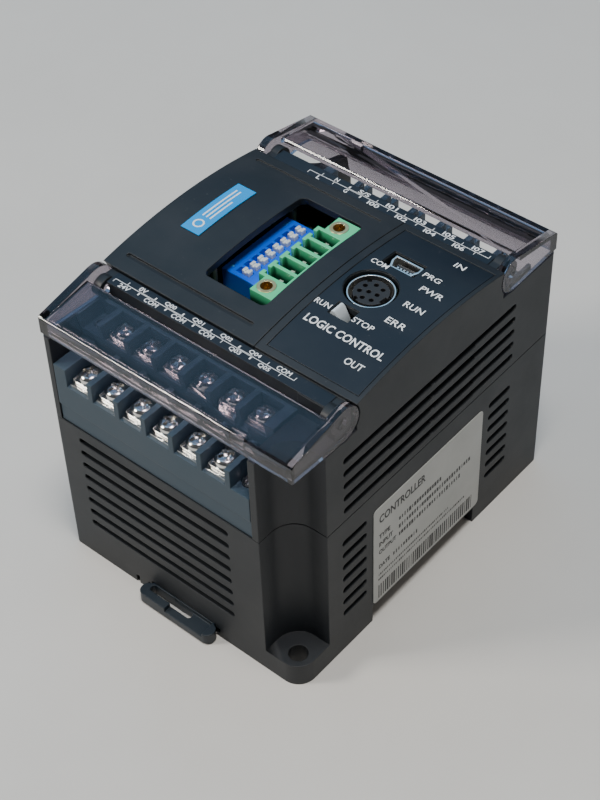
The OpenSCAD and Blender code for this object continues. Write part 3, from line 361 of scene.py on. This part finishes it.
metals = {
    "bright": {"colour": (0.90, 0.90, 0.88), "shade": (0.80, 0.80, 0.78), "rough": (0.26, 0.38),
               "smears": 420.0, "lines": 2600.0, "bump": 0.08},
    "nickel": {"colour": (0.88, 0.87, 0.84), "shade": (0.56, 0.56, 0.54), "rough": (0.10, 0.24),
               "smears": 420.0, "lines": 2600.0, "bump": 0.12},
    "steel": {"colour": (0.60, 0.60, 0.61), "shade": (0.42, 0.42, 0.43), "rough": (0.18, 0.38),
              "smears": 300.0, "lines": 2000.0, "bump": 0.15},
    "brass": {"colour": (0.84, 0.65, 0.33), "shade": (0.66, 0.48, 0.21), "rough": (0.26, 0.42),
              "smears": 380.0, "lines": 2400.0, "bump": 0.12}}

finish = {name: plastic(name, look) for name, look in looks.items()}
finish.update({name: metal(name, look) for name, look in metals.items()})
finish["smoked"] = smokedPlastic("smoked", {
    "tint": (0.43, 0.385, 0.430), "deep": (0.38, 0.34, 0.385), "shadow": (0.56, 0.53, 0.58),
    "rough": (0.02, 0.05), "edge": 0.6, "paintedEdgeShade": (0.09, 0.075, 0.085), "smears": 90.0, "lines": 900.0})
finish["board"] = boardLacquer("board", {
    "colour": (0.006, 0.085, 0.032), "track": (0.012, 0.15, 0.06), "pad": (0.72, 0.70, 0.64)})
print("finishes ready:", len(finish))


# Mesh helpers

def meshFrom(work, name):
    mesh = bpy.data.meshes.new(name)
    work.to_mesh(mesh)
    work.free()
    return mesh


def linkPiece(name, data):
    # the data is a mesh, a text curve, a camera or a lamp
    piece = bpy.data.objects.new(name, data)
    bpy.context.scene.collection.objects.link(piece)
    return piece


def plainMesh(piece):
    # turns an object and its modifiers into one plain mesh, and removes the object
    bpy.context.view_layer.update()
    seen = piece.evaluated_get(bpy.context.evaluated_depsgraph_get())
    mesh = bpy.data.meshes.new_from_object(seen)
    bpy.data.objects.remove(piece)
    return mesh


def smoothMesh(mesh, angle=32.0):
    mesh.polygons.foreach_set("use_smooth", [True] * len(mesh.polygons))
    mesh.set_sharp_from_angle(angle=math.radians(angle))


def placePiece(name, mesh, body, material, stands=()):
    piece = linkPiece(name, mesh)
    piece.data.name = name
    piece.data.materials.clear()
    piece.data.materials.append(material)
    if stands:
        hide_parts(*stands)
    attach(piece, body)
    return piece


def mergedCopy(node):
    work = bmesh.new()
    work.from_mesh(frame["nodes"][node].data)
    bmesh.ops.remove_doubles(work, verts=work.verts, dist=0.002 * mm)
    bmesh.ops.dissolve_limit(work, angle_limit=math.radians(0.6), verts=work.verts, edges=work.edges)
    # only outside corners are marked for rounding, so nothing grows into a gap
    marks = work.edges.layers.float.new("bevel_weight_edge")
    for edge in work.edges:
        if len(edge.link_faces) == 2 and edge.is_convex and edge.calc_face_angle() > math.radians(40):
            edge[marks] = 1.0
    return meshFrom(work, node)


# Normals follow the large faces, so that the flats stay flat beside their rounded edges
def flatShading(mesh):
    smoothMesh(mesh, 35)
    piece = linkPiece("shading", mesh)
    weighted = piece.modifiers.new("flatShading", "WEIGHTED_NORMAL")
    weighted.keep_sharp = True
    weighted.weight = 100
    return plainMesh(piece)


# A CAD node's own shape with its sharp edges rounded, as a moulding's are
def roundedPiece(node, name, material, width):
    piece = linkPiece(name, mergedCopy(node))
    bevel = piece.modifiers.new("roundEdges", "BEVEL")
    bevel.width = width * mm
    bevel.segments = 2
    bevel.limit_method = "WEIGHT"
    bevel.use_clamp_overlap = True
    mesh = flatShading(plainMesh(piece))
    return placePiece(name, mesh, bodyOf[node], material, [node])


roundedParts = {
    "lower_housing": ("lowerHousing", "housing", 0.18),
    "upper_housing": ("upperHousing", "housing", 0.18),
    "expansion_cover": ("expansionCover", "housing", 0.22),
    "front_film": ("frontFilm", "film", 0.06),
    "name_plate": ("namePlate", "plate", 0.08),
    "rating_label": ("ratingLabel", "label", 0.05),
    "output_terminal_block": ("outputBlock", "block", 0.22),
    "input_terminal_block": ("inputBlock", "block", 0.22),
    "output_contacts": ("outputContacts", "nickel", 0.1),
    "input_contacts": ("inputContacts", "nickel", 0.1),
    "output_washers": ("outputWashers", "nickel", 0.12),
    "input_washers": ("inputWashers", "nickel", 0.12),
    "output_marking_strip": ("outputStrip", "film", 0.05),
    "input_marking_strip": ("inputStrip", "film", 0.05),
    "usb_shell": ("usbShell", "bright", 0.06),
    "usb_tongue": ("usbTongue", "insulator", 0.08),
    "socket_shell": ("socketShell", "bright", 0.08),
    "socket_insert": ("socketInsert", "insulator", 0.1),
    "mode_switch_body": ("modeSwitchBody", "insulator", 0.15),
    "dip_switch_body": ("dipSwitchBody", "dip", 0.12),
    "header_body": ("headerBody", "header", 0.14),
    "header_inserts": ("headerInserts", "brass", 0.12),
    "expansion_posts": ("expansionPosts", "peg", 0.2),
    "output_cover": ("outputCover", "smoked", 0.14),
    "input_cover": ("inputCover", "smoked", 0.14),
    "rail_clip": ("railClip", "clip", 0.3),
    "mode_lever": ("modeLever", "lever", 0.2)}
for node, (name, material, width) in roundedParts.items():
    roundedPiece(node, name, finish[material], width)
for number in range(1, 9):
    roundedPiece("dip_lever_%d" % number, "dipLever%d" % number, finish["white"], 0.15)
print("rounded pieces:", len(roundedParts) + 8)


# CAD nodes that keep their own mesh
keptNodes = {
    "header_pins": "nickel", "expansion_board": "board", "board_connector": "insulator",
    "logic_board": "board", "processor": "insulator", "interface_chips": "insulator",
    "status_leds": "guide", "light_guides": "guide", "io_board": "board", "relays": "relay",
    "optocouplers": "coupler", "power_board": "board", "transformer_core": "ferrite",
    "transformer_winding": "tape", "capacitors": "insulator", "mains_fuse": "nickel",
    "board_pillars": "brass", "board_screws": "steel", "housing_screws": "steel"}
for node, material in keptNodes.items():
    mesh = frame["nodes"][node].data
    mesh.materials.clear()
    mesh.materials.append(finish[material])


# One geometry tree lays out everything that repeats in a row
def makeRowTree():
    tree = bpy.data.node_groups.new("rowOfParts", "GeometryNodeTree")
    tree.interface.new_socket(name="Geometry", in_out="OUTPUT", socket_type="NodeSocketGeometry")
    for label, kind in (("Part", "Object"), ("Count", "Int"), ("Start", "Vector"), ("Step", "Vector"),
                        ("Least turn", "Vector"), ("Most turn", "Vector"), ("Least stretch", "Vector"),
                        ("Most stretch", "Vector"), ("Seed", "Int"), ("Material", "Material")):
        tree.interface.new_socket(name=label, in_out="INPUT", socket_type="NodeSocket" + kind)
    given = addNode(tree, "NodeGroupInput", -800, 0).outputs
    line = addNode(tree, "GeometryNodeMeshLine", -500, 200, {
        "Count": given["Count"], "Start Location": given["Start"], "Offset": given["Step"]}, mode="OFFSET")
    part = addNode(tree, "GeometryNodeObjectInfo", -500, 0, {"Object": given["Part"]})
    # the vector sockets of a random value are numbers 0 and 1, and 8 is its seed
    turn = addNode(tree, "FunctionNodeRandomValue", -500, -200, {
        0: given["Least turn"], 1: given["Most turn"], 8: given["Seed"]}, data_type="FLOAT_VECTOR")
    stretch = addNode(tree, "FunctionNodeRandomValue", -500, -450, {
        0: given["Least stretch"], 1: given["Most stretch"], 8: given["Seed"]}, data_type="FLOAT_VECTOR")
    placed = addNode(tree, "GeometryNodeInstanceOnPoints", -150, 100, {
        "Points": line.outputs["Mesh"], "Instance": part.outputs["Geometry"],
        "Rotation": turn.outputs[0], "Scale": stretch.outputs[0]})
    real = addNode(tree, "GeometryNodeRealizeInstances", 100, 100, {"Geometry": placed.outputs[0]})
    coloured = addNode(tree, "GeometryNodeSetMaterial", 300, 100, {
        "Geometry": real.outputs[0], "Material": given["Material"]})
    result = addNode(tree, "NodeGroupOutput", 500, 100)
    tree.links.new(coloured.outputs[0], result.inputs[0])
    return tree


rowTree = makeRowTree()
rowSockets = {item.name: item.identifier for item in rowTree.interface.items_tree if item.in_out == "INPUT"}


def rowOfParts(part, count, start, step, material, turn=((0, 0, 0), (0, 0, 0)),
               stretch=((1, 1, 1), (1, 1, 1)), seed=1):
    holder = linkPiece("row", bpy.data.meshes.new("row"))
    layout = holder.modifiers.new("layout", "NODES")
    layout.node_group = rowTree
    values = {"Part": part, "Count": count, "Start": start, "Step": step, "Least turn": turn[0],
              "Most turn": turn[1], "Least stretch": stretch[0], "Most stretch": stretch[1],
              "Seed": seed, "Material": material}
    for label, value in values.items():
        layout[rowSockets[label]] = value
    return plainMesh(holder)


def joinMeshes(name, meshes):
    work = bmesh.new()
    for mesh in meshes:
        work.from_mesh(mesh)
    return meshFrom(work, name)


# Solid boxes from (low, high) corners
def boxMesh(name, boxes):
    work = bmesh.new()
    for low, high in boxes:
        middle = (Vector(low) + Vector(high)) / 2
        size = Vector(high) - Vector(low)
        bmesh.ops.create_cube(work, size=1.0, matrix=Matrix.Translation(middle) @ Matrix.Diagonal((*size, 1)))
    return meshFrom(work, name)


# Turns an outline of (radius, height) points about Z: a solid with flat ends, or a closed ring
def turnedMesh(name, outline, sides, ring=False):
    work = bmesh.new()
    loops = []
    for radius, height in outline:
        corners = [2 * math.pi * i / sides for i in range(sides)]
        loops.append([work.verts.new((radius * math.cos(a), radius * math.sin(a), height)) for a in corners])
    nextLoops = loops[1:] + loops[:1] if ring else loops[1:]
    for low, high in zip(loops, nextLoops):
        for i in range(sides):
            work.faces.new((low[i], low[(i + 1) % sides], high[(i + 1) % sides], high[i]))
    if not ring:
        work.faces.new(reversed(loops[0]))
        work.faces.new(loops[-1])
    bmesh.ops.recalc_face_normals(work, faces=work.faces)
    return meshFrom(work, name)


# Pan head screw with a cross recess and a shank, its head's underside at zero height
def crossScrew(name, size):
    radius, height, shank, length = (size[key] * mm for key in ("radius", "height", "shank", "length"))
    dome = [(radius, 0.0), (radius, height * 0.42)]
    for step in range(1, 7):
        bend = math.pi / 2 * step / 6.5
        dome.append((radius * (0.30 + 0.70 * math.cos(bend)), height * (0.42 + 0.58 * math.sin(bend))))
    head = linkPiece(name, turnedMesh(name, [(shank, -length), (shank, -0.02 * mm)] + dome, size["sides"]))
    slotWide, slotLong, slotDeep = radius * 0.17, radius * 0.66, height * 0.75
    arms = boxMesh("arms", [
        ((-slotLong, -slotWide, height - slotDeep), (slotLong, slotWide, height * 2)),
        ((-slotWide, -slotLong, height - slotDeep), (slotWide, slotLong, height * 2))])
    cutter = linkPiece("cutter", arms)
    cut = head.modifiers.new("recess", "BOOLEAN")
    cut.object = cutter
    cut.operation = "DIFFERENCE"
    cut.solver = "EXACT"
    cut.use_self = True
    soften = head.modifiers.new("roundEdges", "BEVEL")
    soften.width = 0.09 * mm
    soften.segments = 2
    soften.limit_method = "ANGLE"
    soften.angle_limit = math.radians(35)
    mesh = plainMesh(head)
    bpy.data.objects.remove(cutter)
    smoothMesh(mesh, 40)
    return mesh


terminalScrew = {"radius": 2.6, "height": 2.0, "shank": 1.5, "length": 5.6, "sides": 40, "pitch": 7.83}
keeperScrew = {"radius": 1.9, "height": 1.9, "shank": 1.42, "length": 6.0, "sides": 32}


def terminalScrews(end, node):
    # twelve heads in two tiers; the tiers' places come from the node's own box
    part = linkPiece("screw", crossScrew("screw", terminalScrew))
    low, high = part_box(node)
    radius, length = terminalScrew["radius"] * mm, terminalScrew["length"] * mm
    pitch = terminalScrew["pitch"] * mm
    headLow = low.z + length
    headHigh = high.z - terminalScrew["height"] * mm
    sign = 1 if end == "output" else -1
    first, last = (low, high) if sign > 0 else (high, low)
    left = first.x + sign * radius
    outerY = first.y + sign * radius
    innerY = last.y - sign * radius
    turned = ((-0.03, -0.03, 0.0), (0.03, 0.03, math.pi / 2))
    along = (sign * pitch, 0, 0)
    nickel = finish["nickel"]
    rows = [rowOfParts(part, 6, (left, outerY, headLow), along, nickel, turned, seed=3),
            rowOfParts(part, 6, (left + sign * pitch / 2, innerY, headHigh), along, nickel, turned, seed=8)]
    bpy.data.objects.remove(part)
    placePiece(end + "Screws", joinMeshes("screws", rows), "controller", nickel, [node])


for end in ("output", "input"):
    terminalScrews(end, end + "_screws")


# One low and one high retaining screw in each block: where they stand, with the other end a half turn round
keeperSpots = [(19.8, -40.8, 53.7), (-29.1, -33.0, 61.7)]


def retainingScrews(node):
    part = linkPiece("keeper", crossScrew("keeper", keeperScrew))
    rows = []
    steel = finish["steel"]
    anyTurn = ((0, 0, 0), (0, 0, math.pi / 2))
    for number, (x, y, z) in enumerate(keeperSpots):
        for sign in (1, -1):
            spot = (sign * x * mm, sign * y * mm, z * mm)
            seed = 11 + 2 * number + sign
            rows.append(rowOfParts(part, 1, spot, (0, 0, 0), steel, anyTurn, seed=seed))
    bpy.data.objects.remove(part)
    placePiece("blockScrews", joinMeshes("blockScrews", rows), "controller", steel, [node])


retainingScrews("block_screws")
print("screws placed")

# The arched front: its crown, its half length and its rise give the arc
front = {"rise": 2.3 * mm, "crown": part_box("expansion_cover")[1].z, "half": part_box("expansion_cover")[1].y}


def archHeight(y):
    half, rise = front["half"], front["rise"]
    radius = (half * half + rise * rise) / (2 * rise)
    return front["crown"] - radius + math.sqrt(max(radius * radius - y * y, 0.0))


# Printed words and marks, drawn flat and then laid on a surface
def textMesh(text, width, height, weight=0.0):
    curve = bpy.data.curves.new("words", "FONT")
    curve.body = text
    curve.size = 1.4 * height
    curve.resolution_u = 3
    curve.extrude = inkHalf
    curve.offset = weight * height
    mesh = plainMesh(linkPiece("words", curve))
    across = [vertex.co.x for vertex in mesh.vertices]
    upward = [vertex.co.y for vertex in mesh.vertices]
    left, right, low, high = min(across), max(across), min(upward), max(upward)
    stretch = Matrix.Diagonal((width / (right - left), height / (high - low), 1, 1))
    mesh.transform(stretch @ Matrix.Translation((-(left + right) / 2, -(low + high) / 2, 0)))
    return mesh


def barMesh(x, y, width, height, cuts=0):
    left, right, low, high = x - width / 2, x + width / 2, y - height / 2, y + height / 2
    mesh = boxMesh("bar", [((left, low, -inkHalf), (right, high, inkHalf))])
    if cuts:
        # the cuts let a long bar follow the arch
        work = bmesh.new()
        work.from_mesh(mesh)
        along = [edge for edge in work.edges if abs(edge.verts[0].co.x - edge.verts[1].co.x) > width / 2]
        bmesh.ops.subdivide_edges(work, edges=along, cuts=cuts, use_grid_fill=True)
        work.to_mesh(mesh)
        work.free()
    return mesh


def moved(mesh, x, y, turn=0.0):
    mesh.transform(Matrix.Translation((x, y, 0)) @ Matrix.Rotation(math.radians(turn), 4, "Z"))
    return mesh


def laidOn(mesh, place):
    # place gives the surface point for a drawing point
    for vertex in mesh.vertices:
        vertex.co = place(vertex.co.x, vertex.co.y, vertex.co.z)
    return mesh


# Each word's middle, its width and the height of its capitals
frontWords = {
    "lift": 0.02, "weight": 0.012, "headingWeight": 0.0216,
    "words": [("IN", 26.9, 20.0, 2.6, 1.75), ("PWR", 28.1, 8.4, 5.7, 1.75), ("RUN", 28.15, 2.3, 4.9, 1.75),
              ("ERR", 28.1, -3.7, 4.9, 1.75), ("OUT", 28.2, -17.5, 4.6, 1.75), ("RUN", 12.3, -7.9, 4.0, 1.5),
              ("STOP", 22.8, -7.8, 5.4, 1.5), ("COM", 13.7, 9.3, 4.4, 1.5), ("PRG", 25.1, 12.6, 4.4, 1.6)],
    "heading": ("LOGIC CONTROL", 21.9, -12.8, 20.4, 2.1)}


def frontPrint(values):
    weighted = [(row, values["weight"]) for row in values["words"]]
    weighted.append((values["heading"], values["headingWeight"]))
    meshes = []
    for (word, x, y, width, height), weight in weighted:
        meshes.append(moved(textMesh(word, width * mm, height * mm, weight), x * mm, y * mm))
    lift = values["lift"] * mm
    joined = joinMeshes("frontPrint", meshes)
    laidOn(joined, lambda x, y, z: (x, y, archHeight(y) + lift + z))
    placePiece("frontPrint", joined, "controller", finish["ink"])


frontPrint(frontWords)

# Terminal names from left to right, and the pairs of ticks that a heavy line joins
stripWords = {
    "lift": 0.02, "height": 1.25, "letter": 1.12, "wide": 1.1, "narrow": 0.9, "line": 0.14,
    "heavy": 0.36, "offset": 0.92,
    "output": (["24V", "0V", "COM", "Q00", "COM", "Q01", "COM", "Q02", "Q03", "Q04", "Q05", "COM"],
               [(1, 2), (3, 4), (5, 6), (8, 9)]),
    "input": (["L", "N", "G", "S/S", "I00", "I01", "I02", "I03", "I04", "I05", "I06", "I07"], [(2, 3)])}


def stripPrint(end, values):
    low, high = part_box(end + "_marking_strip")
    middle = (low + high) / 2
    row = (high.y - low.y) * 0.25
    top = high.z + values["lift"] * mm
    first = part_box(end + "_screws")[0].x + terminalScrew["radius"] * mm
    step = terminalScrew["pitch"] / 2 * mm
    last = first + 11 * step
    line, heavy = values["line"] * mm, values["heavy"] * mm
    names, pairs = values[end]
    joinedTicks = {tick for pair in pairs for tick in pair}
    meshes = [barMesh((first + last) / 2, middle.y, last - first + 1.7 * step, line)]
    for i, word in enumerate(names):
        x = first + i * step
        side = 1 if i % 2 else -1
        width = values["letter"] * len(word) * mm * (values["wide"] if "M" in word else values["narrow"])
        words = textMesh(word, width, values["height"] * mm, 0.02)
        meshes.append(moved(words, x, middle.y + side * values["offset"] * mm))
        meshes.append(barMesh(x, middle.y - side * row / 2, heavy if i in joinedTicks else line, row))
    for left, right in pairs:
        meshes.append(barMesh(first + (left + right) / 2 * step, middle.y, step + heavy, heavy))
    for x, side in ((first - 0.85 * step, -1), (last + 0.85 * step, 1)):
        meshes.append(barMesh(x, middle.y + side * row / 2, line, row))
    joined = joinMeshes("strip", meshes)
    laidOn(joined, lambda x, y, z: (x, y, top + z))
    placePiece(end + "StripPrint", joined, "controller", finish["ink"])


for end in ("output", "input"):
    stripPrint(end, stripWords)

# The plate carries a ring and three lines instead of a name: each line's middle, offset and length
plateMark = {"lift": 0.02, "plate": 0.3, "ring": (1.35, 0.95), "ringAt": -6.6, "stroke": 0.4,
             "lines": [(1.6, 1.05, 11.4), (1.6, 0.0, 11.4), (-0.4, -1.05, 7.4)]}


def platePrint(values):
    low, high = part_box("name_plate")
    middle = (low + high) / 2
    outer, inner = (radius * mm for radius in values["ring"])
    outline = [(outer, -inkHalf), (outer, inkHalf), (inner, inkHalf), (inner, -inkHalf)]
    ring = turnedMesh("ring", outline, 36, ring=True)
    meshes = [moved(ring, values["ringAt"] * mm, 0)]
    for x, y, long in values["lines"]:
        meshes.append(barMesh(x * mm, y * mm, long * mm, values["stroke"] * mm, 11))
    joined = joinMeshes("plateMark", meshes)
    thick = (values["plate"] + values["lift"]) * mm
    # it reads along the plate's long side
    laidOn(joined, lambda x, y, z: (middle.x - y, middle.y + x, archHeight(middle.y + x) + thick + z))
    placePiece("plateMark", joined, "controller", finish["ink"])


platePrint(plateMark)

# The label's generic words (middle along the face, height up it, width, height of capitals), rows of short
# strokes in place of small print (first end, middle height, height, count, pitch, seed) and the code's bars
labelLook = {
    "lift": 0.02,
    "words": [("CONTROLLER", -9.6, 33.0, 16.4, 2.5), ("TYPE", -15.9, 27.4, 3.9, 1.4),
              ("INPUT", -15.4, 24.8, 4.9, 1.4), ("OUTPUT", -14.8, 22.2, 6.1, 1.4),
              ("DATE", -15.9, 17.3, 3.9, 1.3)],
    "rows": [(-10.5, 27.4, 1.4, 17, 0.92, 5), (-10.5, 24.8, 1.4, 29, 0.92, 6),
             (-10.5, 22.2, 1.4, 25, 0.92, 7), (-12.5, 17.3, 1.3, 10, 0.92, 9),
             (-17.8, 14.6, 0.7, 42, 0.62, 10), (-17.8, 13.0, 0.7, 52, 0.62, 11)],
    "bars": (-17.8, 8.8, 4.4, 45, 0.79, 15)}


def labelPrint(values):
    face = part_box("rating_label")[1].x + values["lift"] * mm
    words = [moved(textMesh(word, width * mm, height * mm, 0.03), y * mm, z * mm)
             for word, y, z, width, height in values["words"]]
    meshes = [laidOn(joinMeshes("labelWords", words), lambda x, y, z: (face + z, x, y))]
    stroke = linkPiece("stroke", boxMesh("stroke", [((-inkHalf, -0.5, -0.5), (inkHalf, 0.5, 0.5))]))
    ink = finish["darkInk"]
    for first, middle, tall, count, pitch, seed in values["rows"] + [values["bars"]]:
        wide, high = pitch * mm, tall * mm
        shortest = high if tall > 4 else high * 0.7
        stretch = ((1, wide * 0.2, shortest), (1, wide * 0.8, high))
        start = (face, first * mm, middle * mm)
        meshes.append(rowOfParts(stroke, count, start, (0, wide, 0), ink, stretch=stretch, seed=seed))
    bpy.data.objects.remove(stroke)
    placePiece("labelPrint", joinMeshes("labelPrint", meshes), "controller", ink)


labelPrint(labelLook)
print("printing laid on")


# Contacts on the small port's tongue
portContacts = {"count": 5, "pitch": 0.84, "width": 0.44, "thick": 0.42, "long": 5.0, "proud": 0.05}


def portPins(values):
    low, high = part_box("usb_tongue")
    half = values["width"] * mm / 2
    corners = [((-half, -values["thick"] * mm, -values["long"] * mm), (half, 0, values["proud"] * mm))]
    part = linkPiece("contact", boxMesh("contact", corners))
    pitch = values["pitch"] * mm
    start = ((low.x + high.x) / 2 - pitch * (values["count"] - 1) / 2, low.y, high.z)
    row = rowOfParts(part, values["count"], start, (pitch, 0, 0), finish["bright"])
    bpy.data.objects.remove(part)
    placePiece("portContacts", row, "controller", finish["bright"])


portPins(portContacts)

# Two small marks on the switch block, one at each end of its row
switchMarks = {"lift": 0.02, "height": 0.9, "inset": 1.5, "words": [("ON", 9.0, 1.7), ("1", -9.0, 0.5)]}


def switchPrint(values):
    low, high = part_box("dip_switch_body")
    middle = (low.y + high.y) / 2
    across = low.x + values["inset"] * mm
    meshes = [moved(textMesh(word, width * mm, values["height"] * mm), across, middle + y * mm, 90)
              for word, y, width in values["words"]]
    joined = joinMeshes("switchPrint", meshes)
    top = high.z + values["lift"] * mm
    laidOn(joined, lambda x, y, z: (x, y, top + z))
    placePiece("switchPrint", joined, "controller", finish["blueInk"])


switchPrint(switchMarks)


# Floor, camera and lamps

floorLook = {"colour": (0.60, 0.59, 0.57), "shade": (0.55, 0.54, 0.52), "grain": 900.0, "cloud": 9.0,
             "rough": (0.6, 0.75), "bump": 0.15}


def makeFloor():
    mesh = boxMesh("floor", [((-3, -3, -0.01), (3, 3, 0))])
    mesh.materials.append(plastic("paleFloor", floorLook))
    floor = linkPiece("floor", mesh)


makeFloor()

view = {"azimuth": 41.591, "elevation": 45.153, "roll": -2.157, "lens": 80.5, "distance": 0.4095,
        "target": (0.0, 0.0, 0.035), "across": -0.001567, "upward": -0.000875}


def viewAxes(azimuth, elevation):
    a, e = math.radians(azimuth), math.radians(elevation)
    right = Vector((math.cos(a), math.sin(a), 0))
    up = Vector((-math.sin(a) * math.sin(e), math.cos(a) * math.sin(e), math.cos(e)))
    back = Vector((math.sin(a) * math.cos(e), -math.cos(a) * math.cos(e), math.sin(e)))
    return right, up, back


def makeCamera(values):
    right, up, back = viewAxes(values["azimuth"], values["elevation"])
    roll = math.radians(values["roll"])
    across = right * math.cos(roll) + up * math.sin(roll)
    upward = up * math.cos(roll) - right * math.sin(roll)
    place = Vector(values["target"]) + across * values["across"] + upward * values["upward"]
    place += back * values["distance"]
    data = bpy.data.cameras.new("camera")
    data.lens = values["lens"]
    data.sensor_width = 36
    data.clip_start = 0.01
    camera = linkPiece("camera", data)
    camera.matrix_world = Matrix((
        (across.x, upward.x, back.x, place.x), (across.y, upward.y, back.y, place.y),
        (across.z, upward.z, back.z, place.z), (0, 0, 0, 1)))
    bpy.context.scene.camera = camera


makeCamera(view)

lamps = {
    "overhead": {"from": (-0.32, 0.20, 0.80), "size": 1.30, "power": 3.6, "colour": (0.34, 0.66, 1.0)},
    "front": {"from": (-0.66, -0.70, 0.72), "size": 0.30, "power": 9.0, "colour": (1.0, 0.94, 0.86)},
    "top": {"from": (0.16, -0.12, 1.00), "size": 0.26, "power": 8.0, "colour": (1.0, 0.96, 0.90)},
    "side": {"from": (0.90, 0.25, 0.55), "size": 0.45, "power": 1.3, "colour": (1.0, 0.90, 0.78)}}


def makeLamp(name, values):
    data = bpy.data.lights.new(name, "AREA")
    data.shape = "DISK"
    data.size = values["size"]
    data.energy = values["power"]
    data.color = values["colour"]
    lamp = linkPiece(name, data)
    lamp.location = values["from"]
    toward = Vector((0, 0, 0.05)) - Vector(values["from"])
    lamp.rotation_mode = "QUATERNION"
    lamp.rotation_quaternion = toward.to_track_quat("-Z", "Y")


for name, values in lamps.items():
    makeLamp(name, values)

surround = {"colour": (0.80, 0.85, 0.92), "strength": 0.09}
world = bpy.data.worlds.new("studio")
world.use_nodes = True
sky = world.node_tree.nodes["Background"]
sky.inputs["Color"].default_value = rgba(surround["colour"])
sky.inputs["Strength"].default_value = surround["strength"]
bpy.context.scene.world = world
print("stage set")
